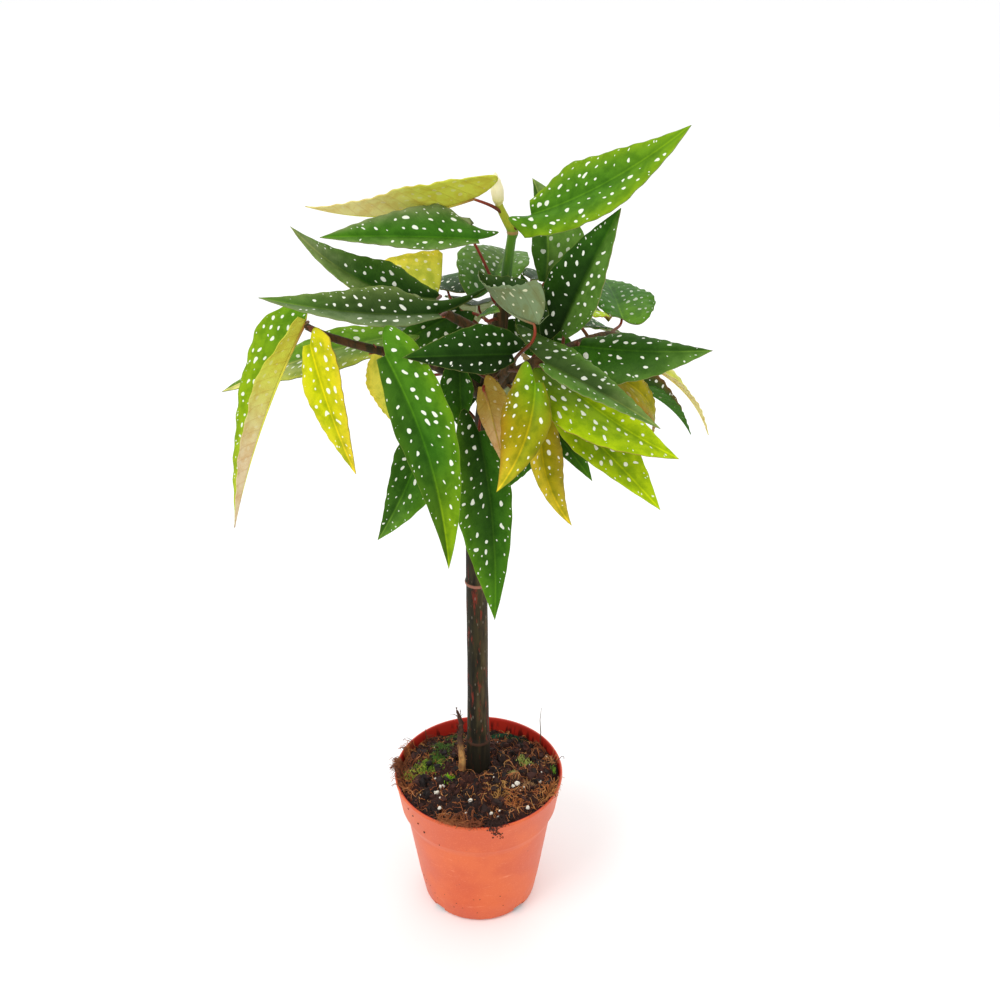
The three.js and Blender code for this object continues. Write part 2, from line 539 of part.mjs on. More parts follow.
// The leaf stalk leaves its shoot, swings under the blade and runs a little way into the midrib.
function makeStalk(leaf) {
  const root = stemCurve(stems[leaf.shoot]).getPoint(leaf.at);
  const { centre, forward, up } = bladeFrame(leaf, 0);
  const reach = root.distanceTo(centre);
  const outward = centre.clone().sub(root).normalize();
  outward.add(new THREE.Vector3(0, 0, stalk.rise)).normalize();
  const leave = root.clone().addScaledVector(outward, reach * stalk.leaveShare);
  const arrive = centre.clone().addScaledVector(forward, -reach * stalk.behindShare);
  arrive.addScaledVector(up, -reach * stalk.belowShare);
  const end = centre.clone().addScaledVector(forward, stalk.intoBlade);
  end.addScaledVector(up, -stalk.underBlade);
  const curve = new THREE.CubicBezierCurve3(root, leave, arrive, end);
  const sections = [];
  for (let i = 0; i <= stalk.steps; i += 1) {
    const t = i / stalk.steps;
    const radius = THREE.MathUtils.lerp(stalk.rootRadius, stalk.jointRadius, t);
    sections.push([...curve.getPoint(t).toArray(), radius]);
  }
  return makeStem(sections, stalk.sides, 1);
}

const plant = new THREE.Group();

const caneRoom = makeCane(clearance);
const leadingRoom = makeLeadingShoot(clearance);
const pottedSoil = makeSoil().subtract(caneRoom).subtract(makeDrySheath(clearance));
addPiece(plant, 'pot', makePot(), finishes.pot);
addPiece(plant, 'soil', largestBody(pottedSoil), finishes.soil);
addPiece(plant, 'cane', makeCane(), finishes.cane);
const leading = largestBody(makeLeadingShoot().subtract(caneRoom));
addPiece(plant, 'leading_shoot', leading, finishes.leadingShoot);
addPiece(plant, 'bud', largestBody(makeBud().subtract(leadingRoom)), finishes.bud);
const drySheath = largestBody(makeDrySheath().subtract(caneRoom));
addPiece(plant, 'dry_sheath', drySheath, finishes.drySheath);
for (const leaf of leaves) {
  const whole = makeBlade(leaf).add(makeStalk(leaf));
  const fitted = largestBody(whole.subtract(caneRoom).subtract(leadingRoom));
  const finish = { color: tones[leaf.tone], roughness: leafRoughness };
  addPiece(plant, `leaf_${leaf.name}`, fitted, finish);
}

export default plant;
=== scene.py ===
import math
import random
import bmesh
import bpy
from mathutils import Matrix, Quaternion, Vector, noise


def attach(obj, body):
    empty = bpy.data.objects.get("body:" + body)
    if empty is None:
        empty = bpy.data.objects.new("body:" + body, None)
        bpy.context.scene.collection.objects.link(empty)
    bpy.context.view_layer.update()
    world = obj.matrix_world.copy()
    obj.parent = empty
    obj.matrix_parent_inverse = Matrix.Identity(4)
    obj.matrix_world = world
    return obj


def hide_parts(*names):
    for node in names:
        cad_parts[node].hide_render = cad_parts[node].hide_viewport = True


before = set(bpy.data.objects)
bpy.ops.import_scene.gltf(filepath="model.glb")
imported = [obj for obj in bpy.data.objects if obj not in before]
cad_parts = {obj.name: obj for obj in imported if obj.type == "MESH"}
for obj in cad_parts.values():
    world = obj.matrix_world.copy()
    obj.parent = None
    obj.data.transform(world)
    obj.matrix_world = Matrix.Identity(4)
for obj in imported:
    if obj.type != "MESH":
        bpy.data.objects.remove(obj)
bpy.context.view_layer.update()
mm = 0.001
fullTurn = 2 * math.pi
print("frame loaded")


# Tools for colours and materials.

def linearColour(hexText):  # a hex colour as the linear red, green and blue that Blender wants
    values = [int(hexText[i:i + 2], 16) / 255 for i in (0, 2, 4)]
    return Vector([v / 12.92 if v <= 0.04045 else ((v + 0.055) / 1.055) ** 2.4 for v in values])


def rgba(hexText):
    return (*linearColour(hexText), 1.0)


def ease(t):  # a soft step from 0 to 1
    t = max(0.0, min(1.0, t))
    return t * t * (3 - 2 * t)


def addNode(tree, kind, inputs=None, **settings):
    made = tree.nodes.new("ShaderNode" + kind)
    for key, value in settings.items():
        setattr(made, key, value)
    for key, value in (inputs or {}).items():
        if isinstance(value, bpy.types.NodeSocket):
            tree.links.new(value, made.inputs[key])
        else:
            made.inputs[key].default_value = value
    return made


def calc(tree, operation, a, b=0.0):
    return addNode(tree, "Math", {0: a, 1: b}, operation=operation).outputs[0]


def plus(tree, a, b):
    return calc(tree, "ADD", a, b)


def minus(tree, a, b):
    return calc(tree, "SUBTRACT", a, b)


def times(tree, a, b):
    return calc(tree, "MULTIPLY", a, b)


def softStep(tree, value, low, high):  # 0 below low, 1 above high
    stepped = addNode(tree, "MapRange", {0: value, 1: low, 2: high}, interpolation_type="SMOOTHSTEP")
    return stepped.outputs[0]


def remap(tree, value, low, high, toLow, toHigh):
    return addNode(tree, "MapRange", {0: value, 1: low, 2: high, 3: toLow, 4: toHigh}).outputs[0]


def ringMask(tree, height, middle, outer, inner):  # 1 nearer a height than inner, 0 past outer
    return softStep(tree, calc(tree, "ABSOLUTE", minus(tree, height, middle)), outer, inner)


def mixColour(tree, factor, a, b, mode="MIX"):
    return addNode(tree, "Mix", {0: factor, 6: a, 7: b}, data_type="RGBA", blend_type=mode).outputs[2]


def scaled(tree, colour, shares):  # a colour with its red, green and blue scaled
    return mixColour(tree, 1.0, colour, (*shares, 1), "MULTIPLY")


def laid(tree, base, mask, amount, colour):  # a colour laid over the base where its mask is
    return mixColour(tree, times(tree, mask, amount), base, colour)


def toned(tree, base, mask, amount, shares):  # the base itself, scaled where the mask is
    return laid(tree, base, mask, amount, scaled(tree, base, shares))


def noiseValue(tree, vector, scale, detail=3.0, roughness=0.55):
    made = addNode(tree, "TexNoise", {"Vector": vector, "Scale": scale, "Detail": detail,
                                      "Roughness": roughness})
    return made.outputs[0]


def attribute(tree, name, output="Color"):
    return addNode(tree, "Attribute", attribute_name=name).outputs[output]


def threeParts(tree, vector):
    return addNode(tree, "SeparateXYZ", {0: vector}).outputs


def objectPlace(tree, stretch=None):
    place = addNode(tree, "TexCoord").outputs["Object"]
    return addNode(tree, "Mapping", {"Vector": place, "Scale": stretch}).outputs[0] if stretch else place


def newMaterial(name, roughness, **fixed):  # fixed values go by their socket's name, with _ for a blank
    material = bpy.data.materials.new(name)
    material.use_nodes = True
    tree = material.node_tree
    shader = tree.nodes["Principled BSDF"]
    shader.inputs["Roughness"].default_value = roughness
    for key, value in fixed.items():
        shader.inputs[key.replace("_", " ")].default_value = value
    return material, tree, shader


def coat(tree, shader, colour, height, depth, strength, rough=None):  # colour, bump and roughness
    tree.links.new(colour, shader.inputs["Base Color"])
    if rough:
        tree.links.new(rough, shader.inputs["Roughness"])
    bump = addNode(tree, "Bump", {"Height": height, "Distance": depth, "Strength": strength})
    tree.links.new(bump.outputs[0], shader.inputs["Normal"])


def makeTinted(name, roughness, speck, speckScale, bump=0.0004):  # a material of each piece's own tint
    material, tree, shader = newMaterial(name, roughness)
    tint = attribute(tree, "tint")
    grain = noiseValue(tree, objectPlace(tree), speckScale, 3)
    base = mixColour(tree, softStep(tree, grain, 0.42, 0.7), tint, scaled(tree, tint, speck))
    coat(tree, shader, base, grain, bump, 0.8)
    return material


# Tools for shapes. Points and radii are in millimetres.

def finishPiece(name, bm, materials, nodes=(), smooth=True, outward=True):
    if outward:
        bmesh.ops.recalc_face_normals(bm, faces=bm.faces)
    mesh = bpy.data.meshes.new(name)
    bm.to_mesh(mesh)
    bm.free()
    for material in materials:
        mesh.materials.append(material)
    mesh.shade_smooth() if smooth else mesh.shade_flat()
    piece = bpy.data.objects.new(name, mesh)
    bpy.context.scene.collection.objects.link(piece)
    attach(piece, "root")
    if nodes:
        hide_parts(*nodes)
    return piece


def tintedMesh():
    bm = bmesh.new()
    return bm, bm.verts.layers.float_color.new("tint")


def paint(verts, tint, shade):
    for vert in verts:
        vert[tint] = (*shade, 1)


def jitter(draw, x, y, z):  # a random vector, each part up to its limit either way
    return Vector((draw.uniform(-x, x), draw.uniform(-y, y), draw.uniform(-z, z)))


def addTube(bm, points, radii, roundness=3, material=0):  # a closed tube along points
    curve = bpy.data.curves.new("line", "CURVE")
    curve.dimensions = "3D"
    curve.bevel_depth = 1
    curve.bevel_resolution = roundness
    curve.use_fill_caps = True
    spline = curve.splines.new("POLY")
    spline.points.add(len(points) - 1)
    for spot, point, radius in zip(spline.points, points, radii):
        spot.co = (*(point * mm), 1)
        spot.radius = radius * mm
    holder = bpy.data.objects.new("line", curve)
    mesh = bpy.data.meshes.new_from_object(holder)
    firstVert, firstFace = len(bm.verts), len(bm.faces)
    bm.from_mesh(mesh)
    bm.verts.ensure_lookup_table()
    bm.faces.ensure_lookup_table()
    for face in bm.faces[firstFace:]:
        face.material_index = material
    bpy.data.objects.remove(holder)
    bpy.data.curves.remove(curve)
    bpy.data.meshes.remove(mesh)
    return bm.verts[firstVert:]


def spunOutline(bm, outline, steps):  # turns a list of (radius, height) about Z
    verts = [bm.verts.new((radius * mm, 0, height * mm)) for radius, height in outline]
    edges = [bm.edges.new(pair) for pair in zip(verts, verts[1:])]
    bmesh.ops.spin(bm, geom=verts + edges, cent=(0, 0, 0), axis=(0, 0, 1), angle=fullTurn,
                   steps=steps, use_merge=True, use_duplicate=False)
    bmesh.ops.remove_doubles(bm, verts=bm.verts, dist=1e-6)


# Camera, floor and light, in metres.

view = {"place": (0.015, -0.750, 0.765), "tiltDown": 30.3, "lens": 50.1, "farthest": 50}
lighting = {
    "sky": 1.02, "aim": (0, 0, 0.35),
    "lamps": {
        "key": {"place": (-0.9, -0.9, 1.9), "size": 0.8, "power": 13},
        "fill": {"place": (1.3, -0.9, 1.0), "size": 1.2, "power": 1.5},
        "back": {"place": (0.4, 1.4, 1.3), "size": 1.0, "power": 3},
    },
}
ground = {"halfWidth": 8, "grey": 0.97, "roughness": 0.8}

scene = bpy.context.scene
cameraData = bpy.data.cameras.new("camera")
cameraData.lens = view["lens"]
cameraData.clip_end = view["farthest"]
camera = bpy.data.objects.new("camera", cameraData)
camera.location = view["place"]
camera.rotation_euler = (math.radians(90 - view["tiltDown"]), 0, 0)
scene.collection.objects.link(camera)
scene.camera = camera
scene.view_settings.view_transform = "Standard"

world = bpy.data.worlds.new("studio")
world.use_nodes = True
sky = world.node_tree.nodes["Background"]
sky.inputs[0].default_value = (1, 1, 1, 1)
sky.inputs[1].default_value = lighting["sky"]
scene.world = world
for name, values in lighting["lamps"].items():
    lampData = bpy.data.lights.new(name, "AREA")
    lampData.size = values["size"]
    lampData.energy = values["power"]
    lamp = bpy.data.objects.new(name, lampData)
    lamp.location = values["place"]
    lamp.rotation_euler = (Vector(lighting["aim"]) - lamp.location).to_track_quat("-Z", "Y").to_euler()
    scene.collection.objects.link(lamp)

floorMaterial, tree, shader = newMaterial("pale floor", ground["roughness"])
shader.inputs["Base Color"].default_value = (*[ground["grey"]] * 3, 1)
bm = bmesh.new()
bmesh.ops.create_grid(bm, x_segments=1, y_segments=1, size=ground["halfWidth"])
floorMesh = bpy.data.meshes.new("floor")
bm.to_mesh(floorMesh)
bm.free()
floorMesh.materials.append(floorMaterial)
floor = bpy.data.objects.new("floor", floorMesh)
scene.collection.objects.link(floor)
print("camera, floor and light ready")


# Stems: the same sections as the solids, each x, y, z and radius in millimetres.

stems = {
    "cane": [(0, 0, 64, 7.6), (0, 0, 100, 8.2), (0, 0, 133, 8.1), (0, 0, 136, 8.4), (0, 0, 141, 7.5),
             (0, 0, 200, 7.0), (0, 0, 263, 6.9), (0, 0, 266, 7.9), (0, 0, 270, 7.0), (1, 0, 330, 6.6),
             (5, 0, 374, 6.2), (9, 0, 410, 5.6), (14, 0, 440, 4.8), (17, 0, 460, 4.2)],
    "left": [(7, 0, 398, 4.2), (-14, -20, 424, 3.5), (-34, -40, 442, 2.9), (-56, -52, 453, 2.4),
             (-78, -54, 461, 2.2), (-90, -50, 465, 1.9)],
    "upperLeft": [(12, 0, 434, 3.6), (-2, -8, 447, 3.0), (-18, -12, 458, 2.6), (-28, -8, 461, 2.1)],
    "right": [(9, 0, 402, 4.2), (28, -12, 422, 3.4), (46, -22, 436, 2.9), (62, -6, 436, 2.6),
              (78, 10, 434, 2.3), (88, 20, 428, 2.0)],
    "front": [(6, 0, 386, 3.8), (9, -16, 408, 3.3), (16, -30, 426, 2.8), (22, -38, 437, 2.3)],
    "back": [(9, 0, 408, 4.0), (7, 20, 424, 3.3), (16, 36, 434, 2.8), (30, 48, 438, 2.3)],
    "leading": [(17.2, 0, 461, 3.7), (19, 0, 479, 3.0), (21.5, 0, 497, 2.7), (22, 0, 501, 3.4),
                (20, 0, 505, 2.5), (15.5, 0, 514, 2.2), (14, 0, 518, 2.1)],
}


def splinePoint(sections, t):  # the point at t, from 0 to 1, on a centripetal spline through sections
    points = [Vector(section[:3]) for section in sections]
    spans = len(points) - 1
    first = min(int(t * spans + 1e-9), spans - 1)
    share = t * spans - first
    p1, p2 = points[first], points[first + 1]
    p0 = points[first - 1] if first > 0 else p1 * 2 - p2
    p3 = points[first + 2] if first + 2 <= spans else p2 * 2 - p1
    d0, d1, d2 = [max((b - a).length ** 0.5, 1e-4) for a, b in ((p0, p1), (p1, p2), (p2, p3))]
    slope1 = ((p1 - p0) / d0 - (p2 - p0) / (d0 + d1) + (p2 - p1) / d1) * d1
    slope2 = ((p2 - p1) / d1 - (p3 - p1) / (d1 + d2) + (p3 - p2) / d2) * d1
    c2 = (p2 - p1) * 3 - slope1 * 2 - slope2
    c3 = (p1 - p2) * 2 + slope1 + slope2
    return p1 + slope1 * share + c2 * share ** 2 + c3 * share ** 3


def stemLine(sections, step):  # points and radii about every step along a stem
    points, radii = [], []
    spans = len(sections) - 1
    for first in range(spans):
        length = (Vector(sections[first + 1][:3]) - Vector(sections[first][:3])).length
        count = max(2, round(length / step))
        for i in range(count + (first == spans - 1)):
            share = i / count
            points.append(splinePoint(sections, (first + share) / spans))
            radii.append(sections[first][3] + (sections[first + 1][3] - sections[first][3]) * ease(share))
    return points, radii


# Leaves: placed and curved as the solids are, with finer edges, veins and spots.

blade = {
    "thickness": 0.6, "rows": 58, "columns": 26, "crowding": 1.1, "mergeWithin": 0.02,
    "wideShare": 0.6, "widestAt": 0.34, "wideBase": 0.7, "narrowBase": 0.4,
    "earLength": 0.13, "earReach": 0.3, "earLean": 0.85,
    "waveHeight": 0.02, "waves": 3, "waveShift": 2, "outwardLean": 0.7,
    "crown": 0.035,        # how far each half bulges, as a share of the width
    "foldRadius": 1.2,     # rounds the crease along the midrib
    "veinSpacing": 8.5, "veinSlope": 0.75, "quilting": 0.1, "quiltingFade": 4,
    "fineWaves": 11, "fineWaveHeight": 0.35, "fineWaveFade": 5, "edgeWaves": 7, "edgeWander": 0.014,
    "middleAt": 0.45, "marginShare": 0.75, "narrowBlend": 0.15, "underBlend": (0.2, 0.5),
}
stalk = {
    "rootRadius": 1.15, "jointRadius": 0.75, "rise": 0.4, "leaveShare": 0.35, "behindShare": 0.15,
    "belowShare": 0.3, "intoBlade": 3, "underBlade": 1.15, "steps": 22,
    "rootSwell": 0.45, "swellReach": 0.07,
    "tints": ("4c4418", "602c1a", "80301c", "7c4226", "7c8036"),
}
rib = {"radius": 0.6, "steps": 26, "end": 0.95, "depth": 0.4, "baseDepth": 0.7, "taper": 0.8,
       "tipRadius": 0.12, "blend": 0.4}

# The greens, yellows and tans that the leaves share. The bright limes and yellows are partly the
# leaves' own colour and partly a painted glow of light passing through the thin blades.
tints = {
    "bottle": "182c0c", "deep": "203e0e", "dark": "2c5212", "green": "386a14", "grass": "4a7c18",
    "fresh": "5c8c16", "apple": "6e9812", "lime": "88a810", "brightLime": "b4cc10", "paleLime": "ccd048",
    "yellow": "c4c20c", "butter": "e4de52", "straw": "e2d88a", "gold": "dcc42e", "amber": "9a900a",
    "slate": "364c20", "moss": "5c8232", "sage": "7e9250", "silver": "7e8c5c", "ash": "748660",
    "pinkGrey": "8e9468", "oliveDark": "44640a", "olive": "5e5606", "ochre": "a48c3c", "tan": "cca872",
    "salmon": "d8c49a", "rust": "8c5818", "redBrown": "7c3a20", "hazel": "8a8a5c",
}
looks = {}


# Tints of a leaf: at the joint, half way and at the tip, of its margin and its underside, then the
# painted light on the narrow half (painted shade where it is darker, painted sheen where it is paler)
# and how far that half takes it, how strongly the spots show, and the underside's tip and spots where they
# differ.
def leafLook(name, base, middle, tip, margin, under, narrow=None, narrowShare=0, spots=1.0,
             underTip=None, underSpots=0.3):
    base, middle, tip, margin, narrow, under, underTip = [
        linearColour(tints[key]) for key in (base, middle, tip, margin, narrow or base, under,
                                             underTip or under)]
    looks[name] = {
        "base": base, "middle": middle, "tip": tip, "margin": margin, "narrow": narrow,
        "narrowShare": narrowShare, "spots": spots, "under": under, "underTip": underTip,
        "underSpots": underSpots,
    }


leafLook("dark", "deep", "dark", "grass", "green", "hazel")
leafLook("green", "dark", "green", "apple", "grass", "silver")
leafLook("topRight", "grass", "grass", "apple", "lime", "sage")
leafLook("topLeft", "lime", "brightLime", "paleLime", "butter", "paleLime", underTip="straw")
leafLook("upperLeft", "green", "green", "grass", "pinkGrey", "silver", "moss", 0.6)
leafLook("leftHigh", "deep", "dark", "silver", "moss", "silver", "sage", 0.5)
leafLook("leftLong", "deep", "slate", "moss", "sage", "silver", "ash", 0.6)
leafLook("frontLong", "grass", "green", "lime", "apple", "silver", "dark", 0.75)
leafLook("lowCenter", "deep", "dark", "grass", "fresh", "silver", "green", 0.6)
leafLook("lowLeft", "dark", "green", "moss", "fresh", "silver", "dark", 0.7)
leafLook("olive", "apple", "amber", "gold", "rust", "ochre", "apple", 0.35)
leafLook("drooping", "fresh", "lime", "paleLime", "lime", "paleLime", underTip="salmon")
leafLook("upright", "bottle", "deep", "green", "dark", "hazel", "moss", 0.7)
leafLook("centerDark", "deep", "deep", "dark", "dark", "hazel", "bottle", 0.8)
leafLook("rightFlat", "green", "dark", "moss", "moss", "hazel", "dark", 0.7)
# These two leaves' grey-green tints are partly their own colour and partly a painted sheen, as their upper
# faces meet the light at a glancing angle; their spots are fainter for the same sheen.
leafLook("frontGrey", "slate", "slate", "sage", "moss", "silver", "moss", 0.6, spots=0.75)
leafLook("tallGrey", "slate", "moss", "sage", "moss", "silver", "dark", 0.8, spots=0.5)
leafLook("folded", "deep", "deep", "slate", "slate", "ash", underSpots=0.8)
leafLook("farLeft", "moss", "sage", "straw", "paleLime", "silver", "fresh", 0.85, spots=0.75)
leafLook("backRound", "fresh", "green", "grass", "grass", "silver", "green", 0.8, spots=0.55)
leafLook("backMiddle", "dark", "oliveDark", "moss", "moss", "silver", "moss", 0.7, spots=0.45)
leafLook("backYellow", "paleLime", "butter", "butter", "gold", "ochre", spots=0.55)
leafLook("leftYellow", "yellow", "yellow", "gold", "gold", "ochre", "brightLime", 0.3)
leafLook("smallYellow", "butter", "butter", "butter", "gold", "gold", spots=0.0)
leafLook("limeUpper", "oliveDark", "lime", "brightLime", "brightLime", "ochre", "brightLime", 0.8)
leafLook("limeLower", "apple", "lime", "brightLime", "brightLime", "ochre")
leafLook("gold", "amber", "amber", "gold", "ochre", "ochre", "gold", 0.7)
leafLook("rightGold", "olive", "amber", "amber", "rust", "ochre", "amber", 0.5, spots=0.12)
leafLook("tan", "moss", "oliveDark", "ochre", "sage", "ochre", underTip="tan")
leafLook("thin", "deep", "dark", "green", "redBrown", "green")
leafLook("pale", "paleLime", "paleLime", "straw", "straw", "straw", spots=0.1)

leaves = []


# A leaf: its name, its shoot and where on it, the joint, the tip, the way it faces (None for outward
# and up), its width and the side of its ear. The rest are shares of its length or width, or degrees.
def leaf(name, shoot, at, joint, tip, face, width, ear, lobe=blade["earLength"], arch=0.04, bend=0.0,
         fold=10, share=blade["wideShare"], base=blade["wideBase"], widest=blade["widestAt"], waist=1,
         earRise=0, twist=0, look="green"):
    leaves.append({
        "name": name, "shoot": shoot, "at": at, "joint": Vector(joint), "tip": Vector(tip),
        "face": Vector(face) if face else None, "width": width, "side": 1 if ear == "right" else -1,
        "lobe": lobe, "arch": arch, "bend": bend, "fold": math.radians(fold), "share": share,
        "base": base, "widest": widest, "waist": waist, "earRise": earRise,
        "twist": math.radians(twist), "look": looks[look],
    })


leaf("top_right", "leading", 0.5, (32, -12, 515), (112, -44, 573), (-0.4, -0.6, 0.7), 41, "right",
     lobe=0.03, arch=0.02, bend=0.07, fold=12, share=0.53, widest=0.5, earRise=12, look="topRight")
leaf("top_left", "leading", 0.76, (3, -6, 524), (-94, 6, 514), (0, 0.2, 1), 40, "left", lobe=0.15,
     arch=-0.08, fold=45, look="topLeft")
leaf("upper_left", "cane", 0.97, (3, -15, 502), (-81, -40, 512), (0, -0.55, 0.8), 31, "right", arch=0.02,
     fold=12, share=0.66, base=0.32, widest=0.24, waist=1.8, earRise=3, look="upperLeft")
leaf("left_high", "upperLeft", 0.8, (-21, -14, 467), (-97, -34, 516), (-0.2, -0.6, 0.8), 27, "right",
     lobe=0.02, arch=-0.01, bend=-0.11, fold=12, base=0.3, waist=1.5, look="leftHigh")
leaf("left_long", "upperLeft", 0.6, (-19, -34, 466), (-111, -70, 490), (0, -0.5, 0.85), 29, "right",
     lobe=0.26, arch=0.02, bend=-0.06, fold=16, base=0.35, widest=0.28, waist=2, earRise=18,
     look="leftLong")
leaf("back_yellow", "upperLeft", 0.85, (-22, 23, 454), (-84, 50, 454), (-0.1, -0.9, 0.4), 43, "right",
     lobe=0.02, fold=8, base=0.95, widest=0.06, look="backYellow")
leaf("back_middle", "back", 0.7, (9, 34, 453), (25, 124, 440), (0, -0.4, 0.9), 45, "left", arch=0.12,
     fold=8, look="backMiddle")
leaf("back_tall", "back", 0.9, (42, 28, 460), (34, 54, 515), (-0.1, -0.9, 0.3), 33, "right", bend=0.08,
     fold=8, share=0.7, look="tallGrey")
leaf("right_upright", "right", 0.46, (48, -38, 457), (78, -48, 531), (-0.5, -0.8, 0.3), 36, "left",
     arch=0.03, fold=16, share=0.53, look="upright")
leaf("back_round", "right", 0.85, (89, 30, 436), (82, 104, 433), (0.1, -0.3, 1), 40, "right", fold=8,
     look="backRound")
leaf("right_flat", "right", 0.58, (60, -24, 442), (132, -48, 450), (0, -0.55, 0.8), 34, "right", arch=0.02,
     bend=0.04, fold=-12, look="rightFlat")
leaf("right_gold", "right", 0.62, (73, -2, 417), (109, 20, 360), (0.7, -0.4, 0.6), 26, "right", arch=0.2,
     fold=12, look="rightGold")
leaf("right_thin", "right", 0.7, (86, 10, 404), (138, 44, 350), (0.8, 0.25, 0.55), 24, "left", arch=0.08,
     fold=50, look="thin")
leaf("right_pale", "right", 1, (106, 40, 402), (153, 66, 338), (0.8, 0.25, 0.55), 20, "left", arch=0.08,
     fold=20, look="pale")
leaf("front_grey", "right", 0.36, (39, -66, 451), (97, -118, 438), (0.15, -0.4, 1), 27, "left", lobe=0.36,
     bend=0.02, fold=12, base=1, widest=0.05, earRise=8, look="frontGrey")
leaf("middle_fold", "front", 1, (36, -62, 472), (3, -15, 484), (0.62, 0.3, 0.72), 46, "left", lobe=0.05,
     arch=-0.1, fold=58, share=0.5, base=0.95, widest=0.06, twist=-62, look="folded")
leaf("center_dark", "front", 0.8, (22, -44, 446), (-36, -84, 462), (0.1, -0.9, 0.5), 28, "right",
     look="centerDark")
leaf("front_long", "left", 0.5, (-46, -72, 458), (-13, -112, 348), (0, -0.9, 0.4), 33, "left", lobe=0.11,
     arch=0.05, bend=-0.06, base=0.9, look="frontLong")
leaf("low_center", "front", 0.3, (3, -52, 402), (12, -92, 300), (0.05, -0.9, 0.4), 32, "right", bend=-0.03,
     widest=0.46, look="lowCenter")
leaf("low_left", "left", 0.15, (-26, -30, 398), (-57, -56, 332), (-0.2, -0.85, 0.4), 34, "left", bend=-0.05,
     look="lowLeft")
leaf("left_yellow", "left", 0.85, (-87, -62, 460), (-64, -84, 392), (-0.35, -0.85, 0.3), 26, "left",
     lobe=0.1, arch=0.05, fold=16, base=0.95, widest=0.2, look="leftYellow")
leaf("left_drooping", "left", 1, (-92, -40, 465), (-140, -58, 342), (-1, 0.1, 0.3), 41, "right", lobe=0.08,
     arch=0.03, bend=-0.02, fold=62, share=0.68, base=0.6, widest=0.18, look="drooping")
leaf("far_left", "left", 0.35, (-46, 0, 438), (-155, 18, 393), (-0.1, -0.4, 0.9), 36, "left", fold=14,
     look="farLeft")
leaf("left_small", "left", 0.4, (-50, -38, 440), (-44, -46, 402), (-0.5, -0.8, 0.2), 22, "right",
     look="smallYellow")
leaf("center_narrow", "front", 0.5, (-8, -30, 431), (-7, -38, 395), (0, -0.9, 0.3), 20, "right",
     look="dark")
leaf("center_tan", "front", 0.6, (6, -56, 432), (17, -66, 388), (0.1, 0.9, 0.2), 20, "right", look="tan")
leaf("front_olive", "front", 0.8, (34, -70, 441), (13, -100, 390), (0, -0.9, 0.4), 28, "right", lobe=0.18,
     bend=-0.08, look="olive")
leaf("front_gold", "right", 0.08, (39, -36, 401), (57, -58, 343), (0.2, -0.9, 0.3), 20, "left", arch=0.05,
     bend=0.11, look="gold")
leaf("lime_upper", "right", 0.27, (47, -44, 433), (112, -88, 404), (0.2, -0.6, 0.75), 42, "right",
     arch=0.06, bend=0.08, look="limeUpper")
leaf("lime_lower", "right", 0.18, (45, -34, 412), (106, -72, 362), (0.1, -0.7, 0.6), 34, "left", arch=0.06,
     look="limeLower")
leaf("right_under", "cane", 0.8, (36, -10, 396), (70, -30, 357), (0.2, -0.8, 0.4), 20, "left", arch=0.06,
     look="dark")
leaf("low_right_dark", "cane", 0.77, (38, 14, 382), (19, 22, 322), (0, -0.9, 0.3), 24, "left", look="dark")
leaf("inner_young", "cane", 0.95, (4, -18, 458), (15, -36, 468), (0, -0.4, 0.8), 11, "left")
leaf("back_far", "back", 0.5, (2, 52, 436), (-2, 138, 384), None, 36, "left", arch=0.08)
leaf("back_right", "back", 1, (34, 66, 448), (62, 142, 402), None, 34, "right", arch=0.08, look="dark")
leaf("back_left", "back", 0.4, (-16, 50, 446), (-46, 130, 410), None, 34, "right", arch=0.08, look="dark")
leaf("back_left_low", "left", 0.2, (-36, 30, 428), (-78, 104, 382), None, 33, "left", arch=0.08)
leaf("back_right_low", "back", 0.8, (60, 48, 424), (108, 106, 376), None, 33, "left", arch=0.08)
leaf("under_back", "cane", 0.8, (10, 32, 398), (10, 86, 312), None, 32, "right", arch=0.06)
leaf("under_left", "cane", 0.77, (-16, 26, 392), (-44, 76, 322), None, 30, "left", arch=0.06, look="dark")
leaf("under_right", "cane", 0.83, (38, 34, 404), (60, 84, 330), None, 30, "left", arch=0.06,
     look="limeLower")
leaf("side_left", "left", 0.15, (-30, 10, 412), (-52, 42, 358), None, 26, "left", arch=0.06,
     look="limeUpper")
leaf("side_right", "right", 0.66, (60, 6, 450), (84, 68, 418), None, 28, "left", lobe=0.2, arch=0.06,
     look="limeUpper")
leaf("inner_left", "cane", 0.93, (-8, 18, 446), (-52, 17, 422), (0, -0.9, 0.4), 26, "left", arch=0.05,
     look="dark")
leaf("inner_right", "right", 0.1, (26, 10, 444), (64, 8, 420), (0, -0.9, 0.4), 26, "right", arch=0.05,
     look="dark")
leaf("inner_low", "cane", 0.84, (-3, 11, 421), (-12, 10, 377), (0, -0.9, 0.2), 22, "left", arch=0.05,
     look="centerDark")
leaf("inner_dark", "right", 0.22, (42, -8, 436), (27, -4, 478), (0, -0.9, 0.4), 24, "left",
     look="centerDark")


def leafFrame(values, u):  # where the midrib is at the share u of the length, and how it lies
    joint, tip = values["joint"], values["tip"]
    length = (tip - joint).length
    along = (tip - joint) / length
    face = values["face"]
    if face is None:
        out = joint + tip
        out.z = 0
        face = out.normalized() * blade["outwardLean"] + Vector((0, 0, 1))
    face = (face - along * face.dot(along)).normalized()
    crest = (joint + tip) / 2 + face * (2 * values["arch"] * length)
    crest += along.cross(face) * (2 * values["bend"] * length)
    centre = joint * (1 - u) ** 2 + crest * (2 * u * (1 - u)) + tip * u ** 2
    forward = ((crest - joint) * (1 - u) + (tip - crest) * u).normalized()
    up = (face - forward * face.dot(forward)).normalized()
    up.rotate(Quaternion(forward, values["twist"] * u))
    return length, centre, forward, up, forward.cross(up)


